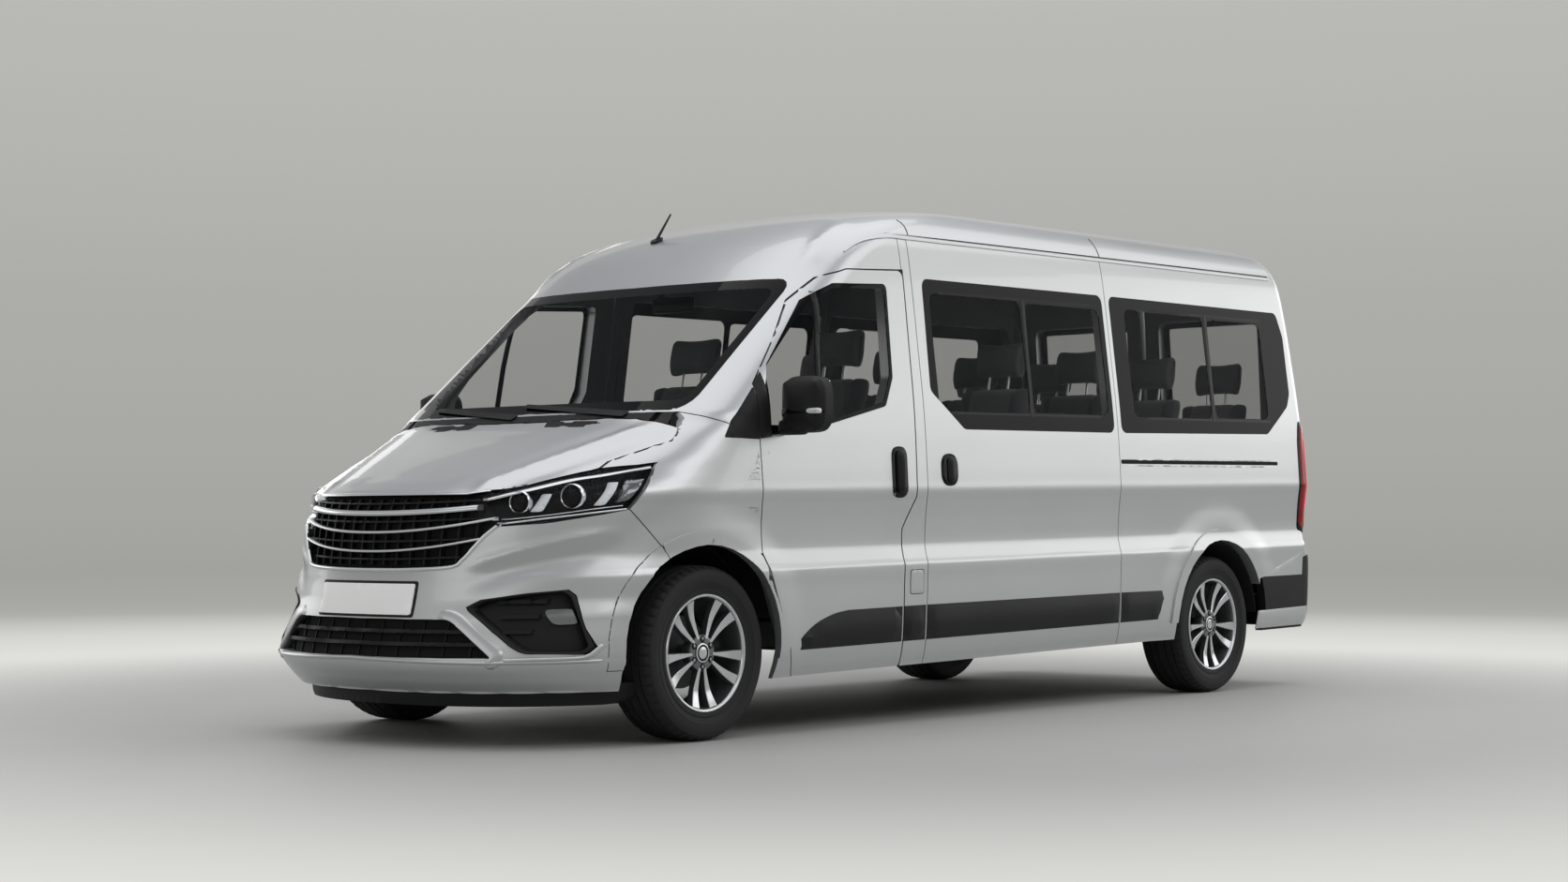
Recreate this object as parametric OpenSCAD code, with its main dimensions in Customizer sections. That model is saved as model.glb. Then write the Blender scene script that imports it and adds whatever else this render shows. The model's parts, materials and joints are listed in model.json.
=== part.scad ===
// Long passenger van with a short bonnet, sliding side doors and twin rear doors.
// Frame: +X to the nose, +Y to the vehicle's left, +Z up, origin on the ground at mid length.

/* [Overall] */
// Distance from the nose to the front axle
front_overhang = 975; // [950:5:1000]
// Distance between the axles
wheelbase = 3750; // [3650:10:3850]
// Distance from the rear axle to the tail
rear_overhang = 975; // [940:5:1050]
// Width across the body sides, without mirrors
body_w = 1920; // [1880:10:1960]
// Nose-down slope of all body lines, in degrees
body_rake = 1.0; // [0.4:0.1:1.4]

/* [Panels] */
// Thickness of doors and side walls
wall_t = 60; // [45:1:75]
// Thickness of the roof and the windscreen pillars, measured level
roof_t = 50; // [40:1:60]
// Thickness of the front fender skins
fender_t = 14; // [10:1:18]
// Thickness of the bonnet, measured level
hood_t = 60; // [45:1:70]
// Thickness of the bumper covers
bumper_t = 40; // [30:1:50]
// Thickness of the window glass
glass_t = 5; // [4:0.5:7]
// Gap around doors that open
shut_gap = 7; // [6:0.5:9]
// Gap between fixed panels
seam_gap = 4; // [3:0.5:5]
// Gap between pieces seated in one another
seat_gap = 0.3; // [0.2:0.1:0.5]

/* [Wheels] */
// Outer radius of the tyres
tyre_r = 335; // [325:1:342]
// Width of the tyres
tyre_w = 215; // [195:1:225]
// Radius of the rim's bead seat
rim_r = 215; // [205:1:222]
// Distance of the wheels' middle planes from the body sides
wheel_inset = 153; // [145:1:165]
// Number of rim arms, which stand in pairs
arm_count = 10; // [6:2:14]
// Radius of the stub axles
stub_r = 30; // [25:1:34]
// Running clearance of the hubs and pins
run_gap = 0.05; // [0.02:0.01:0.1]
// Radius of the arch openings
arch_r = 405; // [395:1:415]
// Distance of the steering axis inboard of the wheel's middle plane
steer_in = 92; // [86:1:100]

/* [Doors] */
// Distance from the nose to the front doors
nose_to_door = 1250; // [1235:1:1270]
// Length of a front door
door_len = 1000; // [980:1:1010]
// Width of the post between a front door and the sliding door
post_w = 70; // [55:1:90]
// Length of a sliding door
slide_len = 1500; // [1460:1:1530]
// Height of the roof gutter, before the rake
gutter_z = 2055; // [2045:1:2065]
// Width of the corner posts beside the rear doors
rear_post_w = 160; // [150:1:180]
// Height of the rear doors' lower edge, before the rake
rear_sill_z = 655; // [640:1:680]
// Radius of the door hinge pins
pin_r = 6; // [5:0.5:7]

/* [Cabin] */
// Height of the floor's upper face
floor_z = 470; // [455:1:485]
// Thickness of the floor
floor_t = 40; // [30:1:50]
// Distance between the seat rows
row_pitch = 660; // [640:5:690]
// Width of one seat
seat_w = 440; // [400:5:460]
// Outer radius of the steering wheel
helm_r = 195; // [180:1:205]

/* [Hidden] */
$fn = 48;

half_w = body_w / 2;
body_len = front_overhang + wheelbase + rear_overhang;
nose_x = body_len / 2;
tail_x = -body_len / 2;
front_axle_x = nose_x - front_overhang;
rear_axle_x = tail_x + rear_overhang;
door_front_x = nose_x - nose_to_door;
door_rear_x = door_front_x - door_len;
slide_front_x = door_rear_x - post_w;
slide_rear_x = slide_front_x - slide_len;
rear_open_y = half_w - rear_post_w;
wheel_y = half_w - wheel_inset;
track = 2 * wheel_y;
rake_k = tan(body_rake);
left = 1;
right = -1;

// Level sections of the outer skin, one row per height before the rake.
// Columns: height, nose set back, depth of the nose curve, side set in, bluntness of the nose
// curve, tail set back, radius of the rear corners.
Z = 0;
NOSE = 1;
DEPTH = 2;
SIDE = 3;
BLUNT = 4;
TAIL = 5;
CORNER = 6;
SECTIONS = [
  [ 250,  100,  960,  35, 2.4,  25, 110],
  [ 300,   45,  985,  22, 2.4,   8, 110],
  [ 365,    0, 1000,  12, 2.4,   0, 110],
  [ 430,   15, 1000,   8, 2.4,   0, 110],
  [ 520,   45, 1000,   5, 2.4,   0, 110],
  [ 600,   62, 1000,   3, 2.3,   2, 110],
  [ 668,   75, 1000,   0, 2.3,  36, 110],
  [ 700,   79, 1000,   9, 2.3,  37, 110],
  [ 760,   86, 1000,  19, 2.3,  37, 110],
  [ 850,   98, 1000,  15, 2.3,  37, 110],
  [ 930,  118, 1000,   7, 2.3,  37, 110],
  [ 986,  150,  985,   0, 2.3,  37, 110],
  [1020,  210,  955,   2, 2.35, 37, 110],
  [1060,  305,  890,   4, 2.4,  38, 110],
  [1110,  430,  795,   7, 2.5,  40, 110],
  [1160,  562,  690,  10, 2.6,  42, 110],
  [1210,  700,  580,  13, 2.8,  44, 110],
  [1250,  805,  500,  16, 3.0,  46, 110],
  [1300,  875,  450,  20, 3.0,  48, 110],
  [1600, 1240,  420,  55, 3.0,  66, 110],
  [1880, 1580,  400,  90, 3.0,  92, 112],
  [1950, 1668,  400, 100, 3.0, 100, 114],
  [2010, 1755,  410, 110, 2.9, 110, 118],
  [2055, 1838,  420, 122, 2.8, 122, 122],
  [2100, 1940,  450, 140, 2.7, 140, 130],
  [2140, 2055,  480, 168, 2.6, 165, 145],
  [2175, 2195,  500, 212, 2.5, 205, 170],
  [2205, 2370,  520, 285, 2.4, 270, 210],
  [2225, 2600,  500, 395, 2.3, 380, 250],
  [2238, 2950,  480, 560, 2.2, 560, 280]
];
nose_steps = 8;
corner_steps = 4;
// Inner faces deeper than this need fewer points
coarse_inset = 10;
coarse_nose_steps = 6;
coarse_corner_steps = 2;
last_row = len(SECTIONS) - 1;
COARSE = [for (i = [0 : last_row]) if (i % 3 == 2 || i == 0 || i == last_row) SECTIONS[i]];
roof_from_z = 1950;
roof_top_z = SECTIONS[last_row][Z];

// Outline of the skin at one section, moved in by inset
function nose_arc(row, inset, side) = let (
    steps = inset < coarse_inset ? nose_steps : coarse_nose_steps
  ) [
  for (i = [0 : steps]) let (
    a = i * 90 / steps,
    depth = row[DEPTH] - inset,
    half = half_w - row[SIDE] - inset,
    x = nose_x - row[NOSE] - row[DEPTH] + depth * pow(cos(a), 2 / row[BLUNT])
  ) [x, side * half * pow(sin(a), 2 / row[BLUNT])]
];
function tail_arc(row, inset) = let (
    steps = inset < coarse_inset ? corner_steps : coarse_corner_steps
  ) [
  for (i = [0 : steps]) let (
    a = 90 + i * 90 / steps,
    r = max(row[CORNER] - inset, 20),
    x = tail_x + row[TAIL] + inset + r,
    y = half_w - row[SIDE] - inset - r
  ) [x + r * cos(a), y + r * sin(a)]
];
function flip(path) = [for (i = [len(path) - 1 : -1 : 0]) [path[i][0], -path[i][1]]];
function skin_height(row, inset) =
  row[Z] - inset * max(0, min(1, (row[Z] - roof_from_z) / (roof_top_z - roof_from_z)));
function ring(row, inset, z) = let (
    half_path = concat(nose_arc(row, inset, 1), tail_arc(row, inset)),
    path = concat(half_path, [for (p = flip(half_path)) if (abs(p[1]) > 0.01) p])
  ) [for (p = path) [p[0], p[1], z]];

// Solid within the skin moved in by inset, as bands between neighbouring sections
module hull_form(inset) {
  rows = inset < coarse_inset ? SECTIONS : COARSE;
  for (i = [0 : len(rows) - 2]) {
    foot = i == 0 && inset > 0 ? 20 : 0;
    low = ring(rows[i], inset, skin_height(rows[i], inset) - foot);
    high = ring(rows[i + 1], inset, skin_height(rows[i + 1], inset));
    hull()
      polyhedron(
        points = concat(low, high),
        faces = [
          [for (k = [0 : len(low) - 1]) k],
          [for (k = [len(high) - 1 : -1 : 0]) len(low) + k]
        ]
      );
  }
}
module skin(outer, inner) {
  difference() {
    hull_form(outer);
    hull_form(inner);
  }
}
// Slopes the body lines down to the nose
module raked() {
  multmatrix([[1, 0, 0, 0], [0, 1, 0, 0], [-rake_k, 0, 1, 0], [0, 0, 0, 1]]) children();
}
function lift(x) = -rake_k * x;

// Side view and front view outlines pushed through the body
module side_prism(from_y, to_y) {
  translate([0, to_y, 0]) rotate([90, 0, 0]) linear_extrude(to_y - from_y) children();
}
module half_prism(side) {
  mirror([0, side == left ? 0 : 1, 0]) side_prism(1, half_w + 100) children();
}
module front_prism(from_x, to_x) {
  translate([from_x, 0, 0]) rotate([90, 0, 90]) linear_extrude(to_x - from_x) children();
}
module inset_2d(gap, r = 0) {
  offset(r = r, $fn = 16) offset(delta = -gap - r) children();
}

// Side view outlines, x then height before the rake
base_z = SECTIONS[0][Z] - 10;
door_low_x = door_rear_x + 90;
sail_x = door_front_x + 280;
sail_z = 1290;
lamp_out_x = door_front_x + 490;
lamp_low_x = lamp_out_x + 152;
// Lower front edge of the door, which clears the arch
door_sill_x = front_axle_x - 480;
door_knee_x = front_axle_x - 445;
// Seam between the bonnet and a fender, from the lamp back to the windscreen
HOOD_SEAM = [
  [lamp_out_x + 187, 1072], [lamp_out_x + 142, 1097], [lamp_out_x - 3, 1146],
  [lamp_out_x - 102, 1178], [lamp_out_x - 131, 1200], [sail_x + 6, 1266], [sail_x, sail_z]
];
function turned(path) = [for (i = [len(path) - 1 : -1 : 0]) path[i]];
module front_door_outline() {
  polygon([
    [door_sill_x, base_z], [door_knee_x, 370], [door_front_x - 10, 740],
    [door_front_x + 5, 1180], [door_front_x - 3, 1400], [door_front_x - 325, 1750],
    [door_front_x - 480, 1850], [door_front_x - 640, 1893], [door_rear_x - 15, 1910],
    [door_rear_x + 5, 950], [door_low_x, 820], [door_low_x, base_z]
  ]);
}
module front_window_outline() {
  polygon([
    [door_rear_x + 108, 1845], [door_front_x - 540, 1828], [door_front_x - 365, 1752],
    [door_front_x - 95, 1480], [door_front_x - 55, 1390], [door_front_x - 55, 1198],
    [door_front_x - 440, 1250], [door_rear_x + 190, 1328], [door_rear_x + 126, 1450]
  ]);
}
module sliding_door_outline() {
  translate([slide_rear_x, base_z]) square([slide_front_x - slide_rear_x, gutter_z - base_z]);
}
module sliding_window_outline() {
  polygon([
    [slide_front_x - 72, 1882], [slide_front_x - 58, 1400], [slide_front_x - 285, 1238],
    [slide_rear_x + 30, 1236], [slide_rear_x + 30, 1882]
  ]);
}
// The fixed sides meet the roof without an open seam
side_top_z = gutter_z + seam_gap - seat_gap;
module quarter_outline() {
  polygon([
    [slide_rear_x, base_z], [slide_rear_x, side_top_z], [tail_x - 50, side_top_z],
    [tail_x - 50, 650], [tail_x + 610, 515], [tail_x + 610, base_z]
  ]);
}
module quarter_window_outline() {
  polygon([
    [slide_rear_x - 30, 1882], [tail_x + 262, 1876], [tail_x + 214, 1750], [tail_x + 212, 1456],
    [tail_x + 250, 1388], [tail_x + 476, 1244], [slide_rear_x - 30, 1236]
  ]);
}
module b_pillar_outline() {
  difference() {
    translate([slide_front_x, base_z]) square([door_low_x - slide_front_x, side_top_z - base_z]);
    offset(delta = shut_gap / 2 - seam_gap / 2) front_door_outline();
    translate([door_rear_x - 8, 1890]) square([200, 300]);
  }
}
module roof_outline() {
  polygon([
    [tail_x - 50, gutter_z], [door_rear_x - 8, gutter_z], [door_rear_x - 8, 1911],
    [door_front_x - 640, 1893], [door_front_x - 480, 1850], [door_front_x - 325, 1750],
    [door_front_x - 3, 1400], [door_front_x + 5, sail_z - 105], [sail_x, sail_z],
    [sail_x + 600, sail_z], [sail_x + 600, 2400], [tail_x - 50, 2400]
  ]);
}
module hood_outline() {
  polygon(concat(
    [[nose_x + 50, 982], [nose_x - 225, 982]], HOOD_SEAM, [[sail_x, 1400], [nose_x + 50, 1400]]
  ));
}
module fender_outline() {
  polygon(concat(
    [
      [door_sill_x, base_z], [door_knee_x, 370], [door_front_x - 10, 740],
      [door_front_x + 5, sail_z - 105]
    ],
    turned(HOOD_SEAM),
    [
      [lamp_out_x, 1092], [lamp_low_x, 920], [lamp_out_x + 20, 768], [lamp_out_x, 718],
      [lamp_out_x - 10, 560], [front_axle_x, base_z]
    ]
  ));
}
module headlamp_outline() {
  polygon([
    [lamp_out_x, 1092], [lamp_low_x, 920], [lamp_out_x + 420, 872], [nose_x - 200, 860],
    [nose_x - 60, 860], [nose_x - 60, 982], [nose_x - 225, 982], HOOD_SEAM[0]
  ]);
}
module front_bumper_outline() {
  polygon([
    [nose_x + 50, base_z], [front_axle_x, base_z], [lamp_out_x - 10, 560], [lamp_out_x, 718],
    [lamp_out_x + 20, 768], [lamp_low_x, 920], [lamp_out_x + 420, 872], [nose_x - 200, 860],
    [nose_x - 160, 982], [nose_x + 50, 982]
  ]);
}
module rear_bumper_outline() {
  polygon([
    [tail_x + 610, base_z], [tail_x + 610, 515], [tail_x - 50, 650], [tail_x - 50, base_z]
  ]);
}
// The front arches sit a little ahead of the wheels, and the rear ones lower over them
arch_ahead = 25;
rear_arch_r = arch_r;
module arch_disc(axle_x, r) {
  translate([axle_x, tyre_r - lift(axle_x) + 8]) circle(r, $fn = 40);
}

// Front view outlines, y then height before the rake
module both_halves() {
  children();
  mirror([1, 0]) children();
}
grille_half = half_w - 414;
grille_low_z = 700;
module grille_outline() {
  both_halves() polygon([
    [-1, 1010], [grille_half - 70, 1010], [grille_half - 83, 945], [grille_half, 861],
    [grille_half - 46, 822], [grille_half - 112, 738], [grille_half - 152, 712],
    [grille_half - 346, grille_low_z + 2], [-1, grille_low_z]
  ]);
}
intake_half = half_w - 360;
module intake_outline() {
  both_halves() polygon([
    [-1, 522], [intake_half - 185, 522], [intake_half - 155, 508], [intake_half, 382], [-1, 382]
  ]);
}
fog_out_y = half_w - 117;
module fog_outline() {
  both_halves() polygon([
    [fog_out_y - 373, 566], [fog_out_y - 328, 594], [fog_out_y - 188, 617], [fog_out_y - 86, 628],
    [fog_out_y - 68, 608], [fog_out_y, 412], [fog_out_y - 19, 390], [fog_out_y - 157, 397],
    [fog_out_y - 188, 417]
  ]);
}
screen_half = half_w - 168;
module windscreen_outline() {
  both_halves() polygon([[-1, 1298], [screen_half, 1298], [screen_half - 20, 1846], [-1, 1846]]);
}
module rear_door_outline(side) {
  scale([side, 1])
    translate([0, rear_sill_z]) square([rear_open_y, gutter_z - rear_sill_z]);
}
module rear_window_outline(side) {
  scale([side, 1]) translate([100, 1270]) square([rear_open_y - 200, 600]);
}

// Plan outline of the bonnet's rear edge, which bows forward over the cowl
cowl_bow = 145;
plan_half = half_w + 60;
module hood_plan() {
  polygon(concat(
    [for (i = [-6 : 6]) [sail_x + cowl_bow * (1 - pow(i / 6, 2)), i / 6 * plan_half]],
    [[nose_x + 50, plan_half], [nose_x + 50, -plan_half]]
  ));
}
// Flat lip around an arch, outside the skin
flare_w = 58;
flare_out = 8;
module flare(axle_x, side, r) {
  intersection() {
    skin(-flare_out, fender_t / 2);
    half_prism(side) difference() {
      arch_disc(axle_x, r + flare_w);
      translate([axle_x - 1000, base_z - 1000]) square([2000, 1000 + 90]);
    }
  }
}

// Body panels

module body_side(side) {
  color("silver") {
    difference() {
      raked() difference() {
        intersection() {
          union() {
            skin(0, wall_t);
            flare(rear_axle_x, side, rear_arch_r);
          }
          half_prism(side) inset_2d(seam_gap / 2) quarter_outline();
          mirror([0, side == left ? 0 : 1, 0])
            translate([tail_x - 50, rear_open_y + shut_gap / 2, 0]) cube([body_len, 300, 3000]);
        }
        half_prism(side) inset_2d(0, 40) quarter_window_outline();
        half_prism(side) arch_disc(rear_axle_x, rear_arch_r);
        tail_lamp_block(side, 0);
      }
      rear_hinge_leaves(side, seat_gap);
    }
    raked() intersection() {
      skin(0, wall_t);
      half_prism(side) inset_2d(seam_gap / 2) b_pillar_outline();
    }
  }
}
module body_side_left() body_side(left);
module body_side_right() body_side(right);

module sliding_door(side) {
  color("silver") raked() difference() {
    intersection() {
      skin(0, wall_t);
      half_prism(side) inset_2d(seam_gap / 2) sliding_door_outline();
    }
    half_prism(side) inset_2d(0, 40) sliding_window_outline();
    half_prism(side) arch_disc(rear_axle_x, rear_arch_r + flare_w);
  }
}
module sliding_door_left() sliding_door(left);
module sliding_door_right() sliding_door(right);

// Hinge axis of a front door: upright, close under the skin and behind the door's front edge
door_pin_x = door_front_x - 45;
door_pin_y = half_w - 22;
door_hinge_heights = [915, 1080];
hinge_h = 36;
pin_reach = 20;
pin_gap = 0.3;
arm_w = 16;
arm_in = 78;
pocket_gap = 6;
// Room for the sloping front edge, which crosses the hinge axis, as the door swings
door_swing = 70;
swing_gap = 5;
module door_swing_room(side) {
  mirror([0, side == left ? 0 : 1, 0]) for (a = [0 : 14 : door_swing])
    translate([door_pin_x, door_pin_y, 0]) rotate([0, 0, -a]) translate([-door_pin_x, -door_pin_y, 0])
      raked() side_prism(door_pin_y - 25, half_w + flare_out + swing_gap) intersection() {
        offset(delta = swing_gap - shut_gap / 2) front_door_outline();
        translate([door_pin_x - 110, 470]) square([160, 270]);
      }
}
module front_door(side) {
  color("silver") difference() {
    raked() difference() {
      intersection() {
        skin(0, wall_t);
        half_prism(side) inset_2d(shut_gap / 2, 30) front_door_outline();
      }
      half_prism(side) inset_2d(0, 25) front_window_outline();
    }
    for (z = door_hinge_heights)
      mirror([0, side == left ? 0 : 1, 0])
        translate([door_pin_x, door_pin_y, z + lift(door_pin_x)]) {
          translate([0, 0, -pin_reach - pin_gap])
            cylinder(r = pin_r + pin_gap, h = hinge_h + 2 * (pin_reach + pin_gap), $fn = 16);
          translate([-arm_w / 2 - pocket_gap, -arm_in - 50, -pocket_gap])
            cube([120, arm_in + 50 + arm_w / 2 + 1, hinge_h + 2 * pocket_gap]);
        }
  }
}
module front_door_left() front_door(left);
module front_door_right() front_door(right);

module fenders() {
  color("silver") for (side = [left, right]) difference() {
    raked() difference() {
      intersection() {
        union() {
          skin(0, fender_t);
          flare(front_axle_x + arch_ahead, side, arch_r);
        }
        half_prism(side) inset_2d(seam_gap / 2) fender_outline();
      }
      half_prism(side) arch_disc(front_axle_x + arch_ahead, arch_r);
    }
    door_swing_room(side);
  }
}

// Hinge axis of the bonnet: crosswise under the windscreen's lower corners
hood_pin_x = sail_x + 8;
hood_pin_z = 1262 + lift(sail_x + 8);
hood_ear_y = half_w - 260;
ear_t = 12;
ear_r = 14;
ear_reach = 92;
ear_drop = 38;
ear_slot = 9;
module hood() {
  color("silver") difference() {
    union() {
      raked() intersection() {
        skin(0, hood_t);
        side_prism(-half_w - 100, half_w + 100) inset_2d(shut_gap / 2) hood_outline();
        linear_extrude(1400) inset_2d(shut_gap / 2) hood_plan();
      }
      for (side = [left, right])
        translate([hood_pin_x, side * hood_ear_y + ear_t / 2, hood_pin_z]) rotate([90, 0, 0])
          linear_extrude(ear_t) hull() {
            circle(ear_r, $fn = 16);
            translate([ear_reach, -ear_drop]) circle(ear_r / 2, $fn = 12);
          }
    }
    for (side = [left, right])
      translate([hood_pin_x, side * hood_ear_y + 2 * ear_t, hood_pin_z])
        rotate([90, 0, 0]) cylinder(r = pin_r + pin_gap, h = 4 * ear_t, $fn = 16);
  }
}
// Cover between the bonnet and the windscreen, with slots for the bonnet's hinge arms
cowl_t = 30;
module cowl() {
  color("black") raked() difference() {
    intersection() {
      skin(0, cowl_t);
      side_prism(-half_w - 100, half_w + 100) polygon([
        [sail_x + 8, sail_z + seam_gap / 2 - seat_gap], [sail_x + 300, sail_z + seam_gap / 2 - seat_gap],
        [sail_x + 300, 1150], [lamp_out_x + 4, 1092]
      ]);
    }
    linear_extrude(1400) offset(delta = shut_gap / 2) hood_plan();
    for (side = [left, right])
      translate([hood_pin_x - ear_r - ear_slot, side * hood_ear_y - ear_t / 2 - ear_slot, 1000])
        cube([300, ear_t + 2 * ear_slot, 400]);
  }
}

module front_bumper() {
  color("silver") {
    raked() difference() {
      intersection() {
        union() {
          skin(0, bumper_t);
          for (side = [left, right]) flare(front_axle_x + arch_ahead, side, arch_r);
        }
        side_prism(-half_w - 100, half_w + 100) inset_2d(seam_gap / 2) front_bumper_outline();
      }
      for (side = [left, right]) half_prism(side) arch_disc(front_axle_x + arch_ahead, arch_r);
      front_prism(nose_x - 700, nose_x + 100) {
        grille_outline();
        intake_outline();
        fog_outline();
      }
    }
    intersection() {
      raked() hull_form(bumper_t / 2);
      for (side = [left, right]) translate([rail_front_x + seat_gap, side * rail_y - stay_w / 2, 0]) {
        translate([0, 0, rail_z + stay_h / 2]) cube([stay_t, stay_w, stay_high_z - rail_z]);
        translate([0, 0, stay_high_z]) cube([300, stay_w, stay_h / 2]);
      }
    }
  }
}

module rear_bumper() {
  color("dimgray") {
    raked() difference() {
      intersection() {
        skin(0, bumper_t);
        side_prism(-half_w - 100, half_w + 100) inset_2d(seam_gap / 2) rear_bumper_outline();
      }
      for (side = [left, right]) half_prism(side) arch_disc(rear_axle_x, rear_arch_r + flare_w);
    }
    intersection() {
      raked() hull_form(bumper_t / 2);
      for (side = [left, right])
        translate([rail_rear_x - 300 - seat_gap, side * rail_y - stay_w / 2, rail_z + stay_h / 2])
          cube([300, stay_w, stay_h]);
    }
  }
}

// Windscreen pillars reach down as posts that carry the door hinges
post_back = 12;
post_t = 112;
post_low_z = 800;
module roof_and_pillars() {
  color("silver") raked() difference() {
    intersection() {
      skin(0, roof_t);
      side_prism(-half_w - 100, half_w + 100) inset_2d(seam_gap / 2) roof_outline();
    }
    front_prism(door_rear_x, nose_x) inset_2d(0, 60) windscreen_outline();
    intersection() {
      linear_extrude(1400) offset(delta = shut_gap / 2) hood_plan();
      side_prism(-half_w - 100, half_w + 100) offset(delta = shut_gap / 2) hood_outline();
    }
  }
  color("silver") raked() for (side = [left, right]) intersection() {
    skin(fender_t + seat_gap, post_t);
    half_prism(side) polygon([
      [door_front_x + post_back, post_low_z], [door_front_x + post_back, sail_z - 60],
      [door_front_x + 110, sail_z - 40], [door_front_x + 100, post_low_z]
    ]);
  }
}

// Hinge axes of the rear doors: upright barrels outside the rear face
rear_pin_x = tail_x + 18;
rear_pin_y = rear_open_y + 16;
rear_hinge_heights = [700, 1560];
barrel_r = 12;
leaf_depth = 75;
module rear_hinge_leaves(side, gap) {
  for (z = rear_hinge_heights)
    mirror([0, side == left ? 0 : 1, 0])
      translate([rear_pin_x - barrel_r, rear_pin_y - pin_r - gap, z - gap + lift(rear_pin_x)])
        cube([leaf_depth + gap, 2 * pin_r + 2 * gap, hinge_h / 2 + 2 * gap]);
}
module rear_door(side) {
  color("silver") difference() {
    union() {
      raked() difference() {
        intersection() {
          skin(0, wall_t);
          front_prism(tail_x - 50, tail_x + 400) inset_2d(shut_gap / 2) rear_door_outline(side);
          translate([rear_pin_x, side * rear_pin_y, 0])
            cylinder(r = rear_pin_y - shut_gap / 2, h = 3000, $fn = 96);
        }
        front_prism(tail_x - 50, tail_x + 400) inset_2d(0, 40) rear_window_outline(side);
      }
      mirror([0, side == left ? 0 : 1, 0])
        for (z = rear_hinge_heights, end = [-hinge_h / 2 - 1, hinge_h / 2 + 1])
          translate([rear_pin_x, rear_pin_y, z + end + lift(rear_pin_x)]) {
            cylinder(r = barrel_r, h = hinge_h / 2, $fn = 16);
            translate([-barrel_r, -50, 0]) cube([leaf_depth, 28, hinge_h / 2]);
            translate([-barrel_r, -50, 0]) cube([barrel_r, 50, hinge_h / 2]);
          }
    }
    mirror([0, side == left ? 0 : 1, 0])
      for (z = rear_hinge_heights)
        translate([rear_pin_x, rear_pin_y, z - 2 * hinge_h + lift(rear_pin_x)])
          cylinder(r = pin_r + pin_gap, h = 4 * hinge_h, $fn = 16);
  }
}
module rear_door_left() rear_door(left);
module rear_door_right() rear_door(right);

// Glass and lamps

module pane() {
  intersection() {
    skin(1, 1 + glass_t);
    children();
  }
}
module windscreen() {
  color("dimgray") raked()
    pane() front_prism(door_rear_x, nose_x) inset_2d(seat_gap, 60) windscreen_outline();
}
module front_glass(side) {
  color("dimgray") raked()
    pane() half_prism(side) inset_2d(seat_gap, 25) front_window_outline();
}
module front_glass_left() front_glass(left);
module front_glass_right() front_glass(right);
module side_glass() {
  color("dimgray") raked() for (side = [left, right]) {
    pane() half_prism(side) inset_2d(seat_gap, 40) sliding_window_outline();
    pane() half_prism(side) inset_2d(seat_gap, 40) quarter_window_outline();
  }
}
module rear_glass(side) {
  color("dimgray") raked()
    pane() front_prism(tail_x - 50, tail_x + 400) inset_2d(seat_gap, 40) rear_window_outline(side);
}
module rear_glass_left() rear_glass(left);
module rear_glass_right() rear_glass(right);

module headlamps() {
  color("lightgray") raked() for (side = [left, right]) difference() {
    intersection() {
      skin(2, 130);
      half_prism(side) inset_2d(seam_gap / 2) headlamp_outline();
    }
    front_prism(nose_x - 700, nose_x + 100) grille_outline();
  }
}

module tail_lamp_block(side, gap) {
  mirror([0, side == left ? 0 : 1, 0])
    translate([tail_x - 50, rear_open_y + 30 + gap, 745 + gap])
      cube([140 - gap, 300, 560 - 2 * gap]);
}
module tail_lamps() {
  color("firebrick") raked() for (side = [left, right])
    intersection() {
      skin(0, wall_t);
      tail_lamp_block(side, seat_gap);
    }
}

// Openings in the nose: a back plate in each, with bars across it
bar_h = 14;
plate_in = 30;
plate_t = 16;
GRILLE_BARS = [776, 846, 918];
INTAKE_BARS = [432, 478];
// Back plate and bars of an opening, cut to its outline once
module nose_insert(heights, outer) {
  intersection() {
    front_prism(nose_x - 700, nose_x + 100) inset_2d(seat_gap) children();
    union() {
      intersection() {
        skin(plate_in, plate_in + plate_t);
        translate([0, -half_w, 0]) cube([nose_x, body_w, 965]);
      }
      intersection() {
        skin(outer, plate_in + plate_t / 2);
        for (z = heights) translate([0, -half_w, z - bar_h / 2]) cube([nose_x, body_w, bar_h]);
      }
    }
  }
}
module grille() {
  color("black") raked() {
    nose_insert(GRILLE_BARS, 3) grille_outline();
    nose_insert(INTAKE_BARS, 14) intake_outline();
    nose_insert([], 14) fog_outline();
  }
}

// Structure under and inside the body

rail_y = wheel_y - 417;
rail_w = 70;
rail_h = 120;
rail_z = floor_z - floor_t - rail_h;
rail_front_x = nose_x - 210;
rail_rear_x = tail_x + 140;
stay_w = 50;
stay_h = 60;
stay_t = 20;
stay_high_z = 510;
axle_clear_r = 62;
// Holes for a tow bar under the rails
tow_hole_r = 8.5;
tow_hole_depth = 45;
tow_edge = 60;
tow_pitch = 200;
liner_t = 6;
liner_r = arch_r + 20;
liner_in_y = rail_y + rail_w / 2 + seat_gap;
liner_out_y = half_w - 170;
floor_front_x = nose_x - 1595;
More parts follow.
